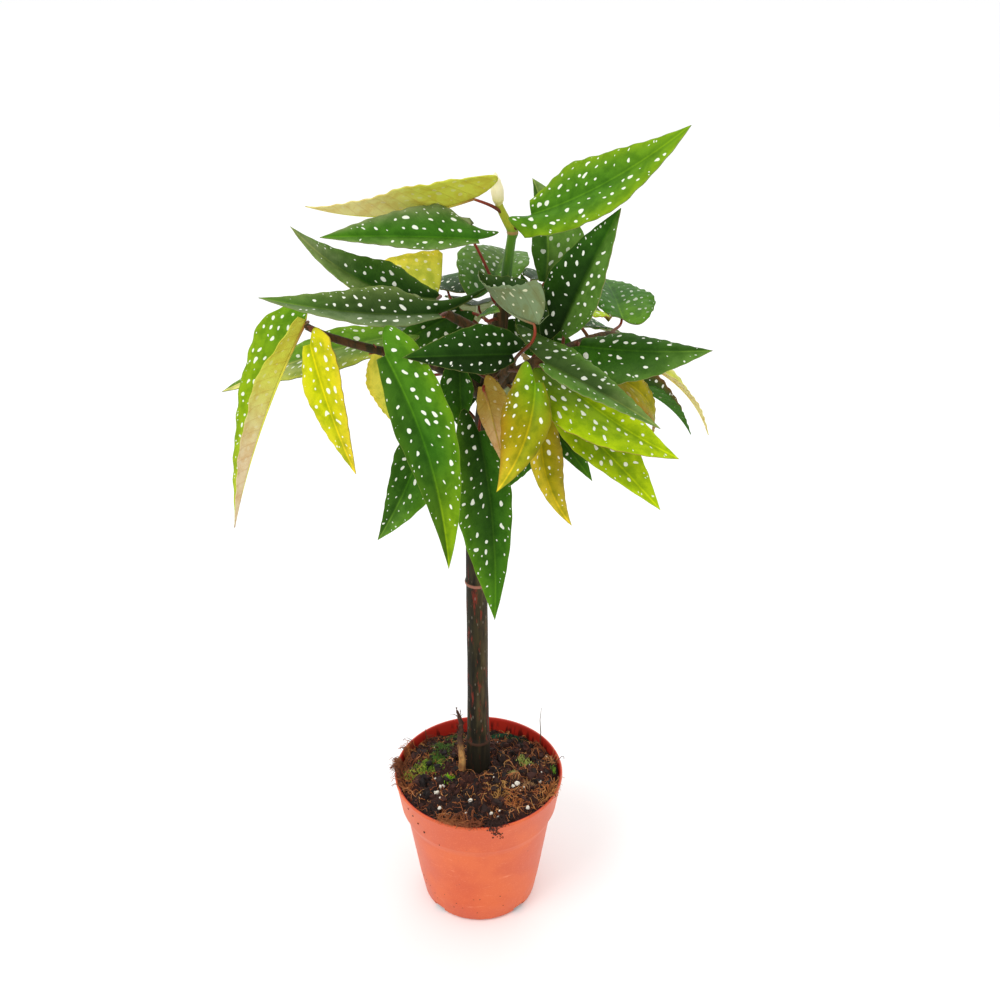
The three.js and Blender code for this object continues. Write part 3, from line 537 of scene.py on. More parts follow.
def halfReach(u, base, widest, waist):  # how far a half reaches, as a share of its widest
    if u < widest:
        return base + (1 - base) * math.sin(math.pi / 2 * u / widest) ** waist
    rest = (u - widest) / (1 - widest)
    return 0.5 * (1 - rest) + 0.5 * math.cos(math.pi / 2 * rest)


def bladePoint(values, u, across, seed):  # a point of the blade, and its flat place on it
    length, centre, forward, up, right = leafFrame(values, u)
    wide = across > 0
    share = values["share"] if wide else 1 - values["share"]
    base = values["base"] if wide else min(blade["narrowBase"], values["base"])
    widest = values["widest"] if wide else blade["widestAt"]
    width = values["width"]
    full = halfReach(u, base, widest, values["waist"])
    reach = abs(across) * width * share * full
    reach *= 1 + blade["edgeWander"] * across ** 2 * math.sin(fullTurn * blade["edgeWaves"] * u + seed)
    hook = lift = 0.0
    if wide and u < blade["earReach"]:
        hook = math.sin(math.pi * across ** blade["earLean"]) * (1 - u / blade["earReach"]) ** 2
        lift = values["earRise"] * hook ** 2
        hook *= length * values["lobe"]
    flatX, flatY = reach * (1 if wide else -1), u * length - hook
    phase = 0 if wide else blade["waveShift"]
    wave = blade["waveHeight"] * width * across ** 2 * (1 - u)
    lift += wave * math.sin(fullTurn * blade["waves"] * u + phase)
    fine = blade["fineWaveHeight"] * across ** 4 * min(1, blade["fineWaveFade"] * (1 - u))
    lift += fine * math.sin(fullTurn * blade["fineWaves"] * u + phase + seed)
    radius = blade["foldRadius"]
    lift += (math.hypot(reach, radius) - radius) * math.sin(values["fold"])
    swell = math.sin(math.pi * min(1, abs(across)))
    lift += blade["crown"] * width * swell * full
    vein = math.cos(fullTurn * (flatY - blade["veinSlope"] * abs(flatX)) / blade["veinSpacing"])
    lift -= blade["quilting"] * vein * swell * min(1, blade["quiltingFade"] * (1 - u))
    point = centre + up * lift - forward * hook
    point += right * (reach * math.cos(values["fold"]) * (1 if wide else -1) * values["side"])
    return point, flatX, flatY


def stalkCurve(values):  # the stalk from its shoot to the joint, then along under the midrib
    root = splinePoint(stems[values["shoot"]], values["at"])
    length, centre, forward, up, right = leafFrame(values, 0)
    reach = (centre - root).length
    outward = ((centre - root).normalized() + Vector((0, 0, stalk["rise"]))).normalized()
    leave = root + outward * (reach * stalk["leaveShare"])
    arrive = centre - forward * (reach * stalk["behindShare"]) - up * (reach * stalk["belowShare"])
    end = centre + forward * stalk["intoBlade"] - up * stalk["underBlade"]
    points, radii, shares = [], [], []
    for i in range(stalk["steps"] + 1):
        t = i / stalk["steps"]
        points.append(root * (1 - t) ** 3 + leave * (3 * t * (1 - t) ** 2)
                      + arrive * (3 * t * t * (1 - t)) + end * t ** 3)
        swell = stalk["rootSwell"] * math.exp(-(t / stalk["swellReach"]) ** 2)
        radii.append(stalk["rootRadius"] + (stalk["jointRadius"] - stalk["rootRadius"]) * t + swell)
        shares.append(t)
    start = stalk["intoBlade"] / length
    for i in range(1, rib["steps"] + 1):
        u = start + (rib["end"] - start) * i / rib["steps"]
        length, centre, forward, up, right = leafFrame(values, u)
        points.append(centre - up * (rib["depth"] + rib["baseDepth"] * (1 - u)))
        radii.append(rib["radius"] * (1 - u) ** rib["taper"] + rib["tipRadius"])
        shares.append(1 + u)
    return points, radii, shares


def edgeDistance(x, y, border):  # from a flat place to the nearest stretch of the outline
    best = math.inf
    for (ax, ay), (bx, by) in zip(border, border[1:]):
        dx, dy = bx - ax, by - ay
        t = max(0, min(1, ((x - ax) * dx + (y - ay) * dy) / (dx * dx + dy * dy + 1e-9)))
        best = min(best, (x - ax - t * dx) ** 2 + (y - ay - t * dy) ** 2)
    return math.sqrt(best)


def leafTint(look, u, across):
    half = blade["middleAt"]
    if u < half:
        tint = look["base"].lerp(look["middle"], ease(u / half))
    else:
        tint = look["middle"].lerp(look["tip"], ease((u - half) / (1 - half)))
    tint = tint.lerp(look["margin"], blade["marginShare"] * abs(across) ** 3)
    # The narrow half takes its painted light: painted shade where it is darker, painted sheen where it is
    # paler.
    if across < 0:
        tint = tint.lerp(look["narrow"], look["narrowShare"] * ease(-across / blade["narrowBlend"]))
    return tint


stalkTints = [linearColour(text) for text in stalk["tints"]]


def stalkTint(share, underTint):  # along the stalk to 1, then along the rib to 2
    step = min(share, 1.999) * (len(stalkTints) - 1) / 2
    shade = stalkTints[int(step)].lerp(stalkTints[int(step) + 1], step - int(step))
    return shade.lerp(underTint, ease((share - 1) / rib["blend"])) if share > 1 else shade


def makeLeaf(values, materials, seed):
    look = values["look"]
    bm, tint = tintedMesh()
    under = bm.verts.layers.float_color.new("under")
    flat = bm.verts.layers.float_vector.new("flat")
    spots = bm.verts.layers.float_vector.new("spots")
    bmesh.ops.create_grid(bm, x_segments=blade["columns"], y_segments=blade["rows"], size=0.5)
    places = {}
    for vert in bm.verts:
        across, u = 2 * vert.co.x, (vert.co.y + 0.5) ** blade["crowding"]
        places[vert] = (across, u, *bladePoint(values, u, across, seed))
    wideEdge = sorted((p for p in places.values() if p[0] > 0.999), key=lambda p: p[1])
    narrowEdge = sorted((p for p in places.values() if p[0] < -0.999), key=lambda p: -p[1])
    foot = sorted((p for p in places.values() if p[1] < 1e-6), key=lambda p: p[0])
    border = [p[3:5] for p in narrowEdge + foot + wideEdge]
    blendFrom, blendOver = blade["underBlend"]
    for vert, (across, u, point, flatX, flatY) in places.items():
        vert.co = point * mm
        vert[flat] = (flatX, flatY, edgeDistance(flatX, flatY, border))
        vert[tint] = (*leafTint(look, u, across), 1)
        below = look["under"].lerp(look["underTip"], ease((u - blendFrom) / blendOver))
        vert[under] = (*below, look["underSpots"])
        vert[spots] = (look["spots"], seed, u)
    bmesh.ops.remove_doubles(bm, verts=bm.verts, dist=blade["mergeWithin"] * mm)
    if values["side"] < 0:
        bmesh.ops.reverse_faces(bm, faces=bm.faces)
    topFaces = set(bm.faces)
    bmesh.ops.solidify(bm, geom=list(bm.faces), thickness=blade["thickness"] * mm)
    for face in bm.faces:
        if face not in topFaces:
            face.material_index = 1
    points, radii, shares = stalkCurve(values)
    added = addTube(bm, points, radii, material=2)
    sides = len(added) // len(points)
    for i, vert in enumerate(added):
        share = shares[min(i // sides, len(shares) - 1)]
        vert[tint] = (*stalkTint(share, look["under"]), 1)
        vert[spots] = (1, seed, share)
    node = f"leaf_{values['name']}"
    return finishPiece(f"{values['name']}_leaf", bm, materials, [node], outward=False)


# Cells and distances are in millimetres, radii and shifts in cells.
spotting = {
    "large": {"cell": (5.2, 6.7), "radius": (0.08, 0.27), "share": 0.93, "shift": 0.0, "scatter": 0.5},
    "small": {"cell": (3.1, 3.9), "radius": (0.12, 0.2), "share": 0.4, "shift": 5.5, "scatter": 0.7},
    "seedShift": (7.13, 3.7), "slope": 0.5, "clearOfRib": 1.9, "smallness": 1.3,
    "wander": 2.4, "wanderPitch": 0.22, "tipShrink": 0.4,
}
leafShades = {
    "cloud": (0.66, 0.74, 0.6), "grain": (1.35, 1.22, 1.1), "vein": (1.25, 1.2, 1.1),
    "paintedCreaseShade": (0.6, 0.68, 0.5), "rib": (1.9, 1.6, 1.4), "spot": "f4f6e8", "rim": "9aa050",
    "underCloud": (0.92, 0.82, 0.7), "underVein": (0.86, 0.7, 0.6), "underNet": "7c4a2c",
    "underSpot": "dedcb8", "stalkStreak": (1.3, 1.15, 0.95),
}


def leafReadings(tree):  # the flat place in millimetres and its way to the edge; the leaf's own values
    flat = attribute(tree, "flat", "Vector")
    return (flat, *threeParts(tree, flat)), tuple(threeParts(tree, attribute(tree, "spots", "Vector")))


def spotMask(tree, x, y, seed, size, values):  # one scatter of oval spots, and the room they leave
    wide, long = values["cell"]
    shiftX, shiftY = [times(tree, seed, pitch) for pitch in spotting["seedShift"]]
    sheared = minus(tree, y, times(tree, calc(tree, "ABSOLUTE", x), spotting["slope"]))
    cellX = plus(tree, calc(tree, "DIVIDE", x, wide), shiftX)
    cellY = plus(tree, plus(tree, calc(tree, "DIVIDE", sheared, long), shiftY), values["shift"])
    place = addNode(tree, "CombineXYZ", {0: cellX, 1: cellY}).outputs[0]
    cells = addNode(tree, "TexVoronoi", {"Vector": place, "Scale": 1.0, "Randomness": values["scatter"]},
                    voronoi_dimensions="2D", feature="F1").outputs
    chance = addNode(tree, "SeparateColor", {0: cells["Color"]}).outputs
    fromRib = times(tree, minus(tree, threeParts(tree, cells["Position"])[0], shiftX), wide)
    clear = calc(tree, "GREATER_THAN", calc(tree, "ABSOLUTE", fromRib), spotting["clearOfRib"])
    kept = calc(tree, "LESS_THAN", chance[1], values["share"])
    radius = remap(tree, calc(tree, "POWER", chance[0], spotting["smallness"]), 0, 1, *values["radius"])
    radius = times(tree, times(tree, radius, size), times(tree, clear, kept))
    inside = minus(tree, radius, cells["Distance"])
    return softStep(tree, inside, -0.015, 0.03), softStep(tree, inside, -0.1, -0.16)


def allSpots(tree, place, own):  # large spots, then with small ones in the room near the edge
    flat, x, y, edge = place
    seed, along = own[1:]
    wander = noiseValue(tree, flat, spotting["wanderPitch"], 0)
    shifted = addNode(tree, "Mapping", {"Vector": flat, "Location": (40, 9, 0)}).outputs[0]
    other = noiseValue(tree, shifted, spotting["wanderPitch"], 0)
    x, y = [plus(tree, way, times(tree, minus(tree, value, 0.5), spotting["wander"]))
            for way, value in ((x, wander), (y, other))]
    inset = times(tree, remap(tree, edge, 0.7, 4.5, 0.25, 1.0), softStep(tree, edge, 0.5, 0.9))
    toTip = minus(tree, 1.0, times(tree, times(tree, along, along), spotting["tipShrink"]))
    large, room = spotMask(tree, x, y, seed, times(tree, inset, toTip), spotting["large"])
    rimBand = times(tree, softStep(tree, edge, 0.5, 1.1), softStep(tree, edge, 3.4, 2.2))
    small = spotMask(tree, x, y, seed, times(tree, rimBand, room), spotting["small"])[0]
    return large, calc(tree, "MAXIMUM", large, small)


def veinMask(tree, x, y, width):
    bent = minus(tree, y, times(tree, calc(tree, "ABSOLUTE", x), blade["veinSlope"]))
    row = calc(tree, "PINGPONG", calc(tree, "DIVIDE", bent, blade["veinSpacing"]), 0.5)
    return softStep(tree, row, width, 0.0)


def makeLeafUpper():
    material, tree, shader = newMaterial("leaf upper side", 0.42, Specular_IOR_Level=0.05)
    place, own = leafReadings(tree)
    flat, x, y, edge = place
    tint = attribute(tree, "tint")
    clouds = softStep(tree, noiseValue(tree, flat, 0.13, 3), 0.32, 0.62)
    base = mixColour(tree, clouds, scaled(tree, tint, leafShades["cloud"]), tint)
    grain = noiseValue(tree, flat, 1.3, 4)
    veins = veinMask(tree, x, y, 0.1)
    across = calc(tree, "ABSOLUTE", x)
    base = toned(tree, base, softStep(tree, grain, 0.48, 0.72), 0.4, leafShades["grain"])
    base = toned(tree, base, veins, 0.22, leafShades["vein"])
    # Painted shade: darker in the crease on either side of the midrib.
    base = toned(tree, base, softStep(tree, across, 3.6, 0.8), 0.55, leafShades["paintedCreaseShade"])
    base = toned(tree, base, softStep(tree, across, 0.7, 0.25), 0.6, leafShades["rib"])
    marks = times(tree, allSpots(tree, place, own)[1], own[0])
    base = mixColour(tree, marks, base, mixColour(tree, 0.16, rgba(leafShades["spot"]), base))
    base = laid(tree, base, softStep(tree, edge, 0.5, 0.15), 0.2, rgba(leafShades["rim"]))
    height = minus(tree, times(tree, grain, 0.45), times(tree, veins, 0.3))
    height = plus(tree, height, times(tree, marks, 0.3))
    coat(tree, shader, base, height, 0.00025, 0.7, remap(tree, grain, 0.3, 0.7, 0.36, 0.52))
    return material


def makeLeafUnder():
    material, tree, shader = newMaterial("leaf underside", 0.55, Specular_IOR_Level=0.06)
    place, own = leafReadings(tree)
    flat, x, y = place[:3]
    tint = addNode(tree, "Attribute", attribute_name="under").outputs
    clouds = softStep(tree, noiseValue(tree, flat, 0.14, 3), 0.4, 0.66)
    base = mixColour(tree, clouds, tint["Color"], scaled(tree, tint["Color"], leafShades["underCloud"]))
    veins = veinMask(tree, x, y, 0.1)
    cross = times(tree, noiseValue(tree, flat, 0.5, 2), 9)
    net = softStep(tree, calc(tree, "PINGPONG", cross, 0.5), 0.12, 0.0)
    base = toned(tree, base, veins, 0.4, leafShades["underVein"])
    base = laid(tree, base, net, 0.08, rgba(leafShades["underNet"]))
    large = allSpots(tree, place, own)[0]
    base = laid(tree, base, large, tint["Alpha"], rgba(leafShades["underSpot"]))
    coat(tree, shader, base, plus(tree, times(tree, veins, 0.8), times(tree, net, 0.3)), 0.0003, 0.7)
    return material


def makeStalkMaterial():
    material, tree, shader = newMaterial("leaf stalk", 0.42, Specular_IOR_Level=0.2)
    tint = attribute(tree, "tint")
    streaks = noiseValue(tree, objectPlace(tree), 420, 3)
    base = mixColour(tree, softStep(tree, streaks, 0.4, 0.7), tint,
                     scaled(tree, tint, leafShades["stalkStreak"]))
    coat(tree, shader, base, streaks, 0.0002, 0.5)
    return material


leafMaterials = [makeLeafUpper(), makeLeafUnder(), makeStalkMaterial()]
for number, values in enumerate(leaves):
    makeLeaf(values, leafMaterials, number + 1)
print(f"{len(leaves)} leaves made")


# Pot: a thin moulded shell. Each point of its outline is a radius and a height.

pot = {
    "outside": [(38.0, 0), (38.9, 0.5), (40.4, 2.5), (43.5, 20), (51.1, 72.8), (51.8, 75.0), (54.2, 80.2),
                (55.0, 82.0), (58.3, 104.2), (58.85, 105.2), (58.9, 106.2), (58.5, 107.0)],
    "inside": [(57.6, 107.0), (57.2, 106.4), (57.1, 104.5), (53.6, 81.5), (52.6, 79.0), (50.0, 73.5),
               (42.2, 20), (39.1, 2.6), (38.2, 1.6), (0, 1.6)],
    "steps": 144, "notch": (8, 10, 9), "notchCount": 4, "notchRadius": 40.4,
    "edgeWidth": 0.25, "edgeAngle": 50,
    "wallMiddle": (0.0420, 0.1504),  # the middle of the wall: its radius at the foot in metres, its slope
    # The inner tint is a painted shade for the inside wall above the soil.
    "plastic": "cf5425", "light": "da6431", "bloom": "ee8e5c", "scuff": "f0a074", "inner": "b3281a",
    "innerStreaks": "3c0f0a", "speck": "6b2a18",
}


def makePotMaterial():
    material, tree, shader = newMaterial("pot plastic", 0.42, Specular_IOR_Level=0.4)
    place = objectPlace(tree)
    x, y, z = threeParts(tree, place)
    clouds = noiseValue(tree, place, 28, 4)
    fine = noiseValue(tree, place, 900, 2)
    scuffs = noiseValue(tree, objectPlace(tree, (60, 60, 240)), 1.0, 5, 0.7)
    base = mixColour(tree, softStep(tree, clouds, 0.38, 0.66), rgba(pot["plastic"]), rgba(pot["light"]))
    base = laid(tree, base, softStep(tree, fine, 0.5, 0.8), 0.25, rgba(pot["bloom"]))
    base = laid(tree, base, softStep(tree, scuffs, 0.6, 0.72), 0.35, rgba(pot["scuff"]))
    radius = calc(tree, "SQRT", plus(tree, times(tree, x, x), times(tree, y, y)))
    wallMiddle = plus(tree, times(tree, z, pot["wallMiddle"][1]), pot["wallMiddle"][0])
    # Painted shade: the inside wall above the soil is a darker, deeper red than the same plastic outside.
    inner = softStep(tree, minus(tree, wallMiddle, radius), -0.0003, 0.0003)
    inner = times(tree, inner, softStep(tree, z, 0.081, 0.084))
    base = mixColour(tree, inner, base, rgba(pot["inner"]))
    # Dark streaks low on the inside wall, darkest just above the soil.
    streaks = noiseValue(tree, objectPlace(tree, (300, 300, 14)), 1.0, 3)
    innerStreaks = times(tree, softStep(tree, streaks, 0.5, 0.6), inner)
    innerStreaks = times(tree, innerStreaks, softStep(tree, z, 0.106, 0.100))
    base = laid(tree, base, innerStreaks, 0.8, rgba(pot["innerStreaks"]))
    specks = softStep(tree, noiseValue(tree, place, 190, 2), 0.735, 0.76)
    strength = plus(tree, times(tree, softStep(tree, z, 0.05, 0.0), 0.5), 0.3)
    base = laid(tree, base, specks, strength, rgba(pot["speck"]))
    coat(tree, shader, base, plus(tree, times(tree, fine, 0.4), scuffs), 0.00012, 0.5,
         remap(tree, clouds, 0.3, 0.7, 0.38, 0.52))
    return material


def cutNotches(piece):  # the drainage notches round the foot
    cutters = bmesh.new()
    for i in range(pot["notchCount"]):
        turn = Matrix.Rotation(fullTurn * (i + 0.5) / pot["notchCount"], 4, "Z")
        place = turn @ Matrix.Translation((pot["notchRadius"] * mm, 0, 0))
        size = Matrix.Diagonal((*[side * mm for side in pot["notch"]], 1))
        bmesh.ops.create_cube(cutters, size=1, matrix=place @ size)
    cutterMesh = bpy.data.meshes.new("notches")
    cutters.to_mesh(cutterMesh)
    cutters.free()
    cutter = bpy.data.objects.new("notches", cutterMesh)
    scene.collection.objects.link(cutter)
    cut = piece.modifiers.new("notches", "BOOLEAN")
    cut.object = cutter
    cut.solver = "EXACT"
    depsgraph = bpy.context.evaluated_depsgraph_get()
    piece.data = bpy.data.meshes.new_from_object(piece.evaluated_get(depsgraph))
    piece.modifiers.clear()
    piece.data.shade_smooth()
    bpy.data.objects.remove(cutter)


def makePot():
    bm = bmesh.new()
    spunOutline(bm, [(0, 0), *pot["outside"], *pot["inside"]], pot["steps"])
    piece = finishPiece("pot_shell", bm, [makePotMaterial()], ["pot"])
    cutNotches(piece)
    edges = piece.modifiers.new("soft edges", "BEVEL")
    edges.width = pot["edgeWidth"] * mm
    edges.segments = 2
    edges.limit_method = "ANGLE"
    edges.angle_limit = math.radians(pot["edgeAngle"])
    edges.harden_normals = True
    return piece


makePot()
print("pot made")


# Soil: heaped peat that fills the pot, with a rough top.

soil = {
    "edgeHeight": 103, "heap": 8, "frontLift": 2, "backDrop": 9, "rings": 90, "steps": 250,
    "heapRadius": 56.5, "rimRadius": 58.9, "topRadius": 56.0,
    "foot": [(0, 1.9), (38.2, 1.9), (41.9, 20), (49.7, 73.5), (53.3, 81.5)],
    "wall": ((81.5, 53.6), (104.5, 57.1)), "wallGap": 0.4,  # height and inside radius, low and high
    "lumps": ((0.21, 0.9), (0.4, 0.9)), "roughLumps": ((0.08, 2.2), (0.2, 2.4), (0.5, 1.5), (1.1, 0.6)),
    "crevice": {"pitch": 0.13, "width": 0.07, "depth": 2.6}, "aroundCane": 9,
    "tints": {"dark": "140a06", "brown": "3c1a10", "warm": "5c2e1a", "pale": "8e5a32"},
}


def soilEdge(z):  # the largest radius of the soil at a height
    (lowZ, lowRadius), (highZ, highRadius) = soil["wall"]
    return lowRadius + (highRadius - lowRadius) * (z - lowZ) / (highZ - lowZ) - soil["wallGap"]


def soilHeight(x, y):
    out = math.hypot(x, y) / soil["heapRadius"]
    back = y / soil["rimRadius"]
    side = -soil["frontLift"] * back if back < 0 else -soil["backDrop"] * back ** 1.5
    height = soil["edgeHeight"] + soil["heap"] * (1 - out * out) + side
    broad, small = soil["lumps"]
    height += broad[1] * math.sin(x * broad[0]) * math.cos(y * broad[0])
    height += small[1] * math.sin((x - y) * small[0])
    for pitch, depth in soil["roughLumps"]:
        height += depth * noise.noise(Vector((x * pitch, y * pitch, 3.1)))
    crevice = soil["crevice"]
    line = abs(noise.noise(Vector((x * crevice["pitch"], y * crevice["pitch"], 9.4))))
    return height - crevice["depth"] * ease(1 - line / crevice["width"])


def onSoil(x, y, above):  # a place in metres, so far above the soil
    return Vector((x, y, soilHeight(x, y) + above)) * mm


def scatterPlace(draw, reach):  # a random place on the soil, clear of the cane
    while True:
        x, y = draw.uniform(-reach, reach), draw.uniform(-reach, reach)
        if soil["aroundCane"] < math.hypot(x, y) < reach:
            return x, y


def pulledIn(x, y, most):  # a place brought back within a radius
    inward = most / math.hypot(x, y)
    return (x * inward, y * inward) if inward < 1 else (x, y)


def makeSoilMaterial():
    material, tree, shader = newMaterial("peat", 0.95)
    place = objectPlace(tree)
    dark, brown, warm, pale = [rgba(text) for text in soil["tints"].values()]
    broad = noiseValue(tree, place, 60, 4)
    fine = noiseValue(tree, place, 420, 5, 0.7)
    base = mixColour(tree, softStep(tree, broad, 0.35, 0.65), dark, brown)
    base = mixColour(tree, softStep(tree, fine, 0.52, 0.72), base, warm)
    base = mixColour(tree, softStep(tree, fine, 0.68, 0.8), base, pale)
    coat(tree, shader, base, plus(tree, fine, broad), 0.0016, 1.0)
    return material


def makeSoil():
    bm = bmesh.new()
    rings, above = soil["rings"], 200  # the top's rings start well above the foot, then get their height
    top = [(soil["topRadius"] * ring / rings, above + ring) for ring in range(rings, -1, -1)]
    spunOutline(bm, soil["foot"] + top, soil["steps"])
    for vert in bm.verts:
        if vert.co.z < above / 2 * mm:
            continue
        x, y = vert.co.x / mm, vert.co.y / mm
        z = soilHeight(x, y)
        pull = min(1, soilEdge(z) / max(math.hypot(x, y), 1e-6))
        vert.co = Vector((x * pull, y * pull, z)) * mm
    return finishPiece("soil_heap", bm, [makeSoilMaterial()], ["soil"])


crumbs = {
    "count": 1900, "reach": 55, "wall": 54.8, "fine": (0.5, 1.6), "coarse": (1.8, 5.2), "coarseEvery": 7,
    "sunk": 0.12, "jolt": 0.26, "tints": ("140906", "22100a", "36180f", "542a18", "6e3c22", "2a130c"),
}


def makeCrumbs():
    draw = random.Random(4)
    bm, tint = tintedMesh()
    colours = [linearColour(text) for text in crumbs["tints"]]
    for i in range(crumbs["count"]):
        x, y = scatterPlace(draw, crumbs["reach"])
        size = draw.uniform(*crumbs["fine" if i % crumbs["coarseEvery"] else "coarse"])
        x, y = pulledIn(x, y, crumbs["wall"] - size)
        place = onSoil(x, y, crumbs["sunk"] * size)
        turn = Matrix.Rotation(draw.uniform(0, 6.3), 4, Vector((draw.random(), draw.random(), 1)))
        shape = Matrix.Diagonal((size * mm, size * draw.uniform(0.5, 1) * mm,
                                 size * draw.uniform(0.35, 0.8) * mm, 1))
        made = bmesh.ops.create_icosphere(bm, subdivisions=1, radius=0.7,
                                          matrix=Matrix.Translation(place) @ turn @ shape)["verts"]
        shade = draw.choice(colours if size < crumbs["coarse"][0] else colours[:3])
        for vert in made:
            vert.co += jitter(draw, 1, 1, 1) * (crumbs["jolt"] * size * mm)
        paint(made, tint, shade)
    material = makeTinted("peat crumbs", 0.9, (1.6, 1.5, 1.3), 700)
    return finishPiece("soil_crumbs", bm, [material], smooth=False)


perlite = {
    "placed": [(-25, -19, 1.9), (-28, -24, 1.5), (-5, -34, 1.8), (-26, -39, 1.3), (9, -44, 1.2),
               (27, -17, 1.9), (24, -19, 1.2), (43, -12, 1.1), (20, -5, 0.9), (14, -47, 0.9),
               (-8, -45, 0.8), (34, -38, 1.3)],
    "scattered": 34, "reach": 52, "radius": (0.35, 0.75), "lumpiness": 0.45, "tint": "efe9dc",
}


def makePerlite():
    draw = random.Random(11)
    grains = list(perlite["placed"])
    for i in range(perlite["scattered"]):
        grains.append((*scatterPlace(draw, perlite["reach"]), draw.uniform(*perlite["radius"])))
    bm, tint = tintedMesh()
    for x, y, size in grains:
        place = onSoil(x, y, 0.5 * size)
        made = bmesh.ops.create_icosphere(bm, subdivisions=2, radius=size * mm,
                                          matrix=Matrix.Translation(place))["verts"]
        for vert in made:
            lump = noise.noise(vert.co * (0.9 / size / mm))
            vert.co = place + (vert.co - place) * (1 + perlite["lumpiness"] * lump)
    paint(bm.verts, tint, linearColour(perlite["tint"]))
    material = makeTinted("perlite", 0.8, (0.8, 0.76, 0.68), 900)
    return finishPiece("soil_perlite", bm, [material])


fibres = {
    # Clumps: where, how far they spread, how many fibres and their tint.
    "clumps": [(15, -25, 7, 46, "b88848"), (28, -33, 7, 40, "a8642f"), (-54, 8, 9, 110, "7a4424"),
               (-51, -14, 6, 50, "93552c"), (34, -14, 8, 40, "8e6a44"), (-18, -52, 7, 60, "8a5028"),
               (-6, -54, 6, 50, "7a4022"), (11, -55, 4, 60, "2e160d"), (48, -20, 7, 28, "a8622f"),
               (44, 28, 7, 18, "8a4a26"), (-40, 38, 7, 22, "6a3820"), (12, 31, 7, 20, "8a5530"),
               (48, 12, 6, 16, "a8784a"), (-50, -5, 6, 22, "8a4a26")],
    # Tufts on the rim: where round it and how far they spread in degrees, how many and their tint.
    "rimTufts": [(172, 9, 90, "7a4424"), (160, 7, 60, "a5622e"), (186, 8, 50, "5a2e1a"),
                 (252, 8, 60, "9a5a30"), (262, 6, 50, "7a4022"), (284, 4, 40, "30170e"),
                 (335, 8, 40, "a8703c")],
    "loose": 620, "looseReach": 55,
    "looseTints": ("8a4a26", "a8622f", "5c2c18", "c08a4e", "3d1c11", "b87a4a"),
    "clumpLength": (4, 11), "looseLength": (3, 12), "tuftLength": (5, 10),
    "rim": (53.5, 57.5), "rimTop": 107.2, "onRim": 55.5, "nearRim": 50, "wall": 54, "wallTop": 101.5,
    "hangFrom": 59.5, "spill": 61, "leftSpill": 66, "left": -40,
    "steps": 6, "lift": 0.2, "radius": (0.14, 0.38), "taper": 0.6,
    "sprig": [(44, 34, 100, 0.4), (44.5, 34.6, 112, 0.35), (43.8, 35, 123, 0.25), (44.7, 36, 133, 0.12)],
    "sprigTint": "5a4026",
}


def fibreStarts(draw):  # where each fibre starts, its tint and its length
    starts = []
    for cx, cy, spread, count, text in fibres["clumps"]:
        for i in range(count):
            x, y = cx + draw.gauss(0, spread / 2), cy + draw.gauss(0, spread / 2)
            starts.append((x, y, linearColour(text), draw.uniform(*fibres["clumpLength"])))
    colours = [linearColour(text) for text in fibres["looseTints"]]
    for i in range(fibres["loose"]):
        place = scatterPlace(draw, fibres["looseReach"])
        starts.append((*place, draw.choice(colours), draw.uniform(*fibres["looseLength"])))
    for degrees, spread, count, text in fibres["rimTufts"]:
        for i in range(count):
            turn, reach = math.radians(draw.gauss(degrees, spread)), draw.uniform(*fibres["rim"])
            x, y = reach * math.cos(turn), reach * math.sin(turn)
            starts.append((x, y, linearColour(text), draw.uniform(*fibres["tuftLength"])))
    return starts


def fibreLine(draw, x, y, length):  # wanders over the soil, or over the rim and a little way down
    reach, steps, wall = math.hypot(x, y), fibres["steps"], fibres["wall"]
    inner, outer = fibres["rim"]
    x, y = pulledIn(x, y, outer)
    heading, rise = draw.uniform(0, 6.283), draw.uniform(-0.1, 0.7)
    if reach > fibres["nearRim"]:
        rise = draw.uniform(0.2, 1.4)
    if reach > inner and x < fibres["left"]:
        heading = math.atan2(y, x) + draw.uniform(-1.2, 1.2)
    points = []
    for step in range(steps + 1):
        if math.hypot(x, y) > wall and soilHeight(*pulledIn(x, y, wall)) < fibres["wallTop"]:
            x, y = pulledIn(x, y, wall)
        surface = soilHeight(x, y) if math.hypot(x, y) < fibres["onRim"] else fibres["rimTop"]
        arch = math.sin(math.pi * step / steps) * length * 0.2 * max(rise, 0.1)
        x, y = pulledIn(x, y, fibres["leftSpill" if x < fibres["left"] and y > -20 else "spill"])
        reach = math.hypot(x, y)
        hang = 0.5 * max(0, reach - fibres["hangFrom"])
        points.append(Vector((x, y, surface + fibres["lift"] + arch + rise * step * 0.35 - hang)))
        stride = length / 6 if reach < 60 else length / 9
        x += math.cos(heading) * stride
        y += math.sin(heading) * stride
        heading += draw.gauss(0, 0.6)
    thick = draw.uniform(*fibres["radius"])
    return points, [thick * (1 - fibres["taper"] * step / steps) for step in range(steps + 1)]


def makeFibres():
    draw = random.Random(23)
    bm, tint = tintedMesh()
    for x, y, shade, length in fibreStarts(draw):
        paint(addTube(bm, *fibreLine(draw, x, y, length), roundness=0), tint, shade)
    sprig = [Vector(place[:3]) for place in fibres["sprig"]]
    verts = addTube(bm, sprig, [place[3] for place in fibres["sprig"]], roundness=1)
    paint(verts, tint, linearColour(fibres["sprigTint"]))
    material = makeTinted("peat fibres", 0.85, (1.35, 1.25, 1.1), 1200, 0.0002)
    return finishPiece("soil_fibres", bm, [material], smooth=False)


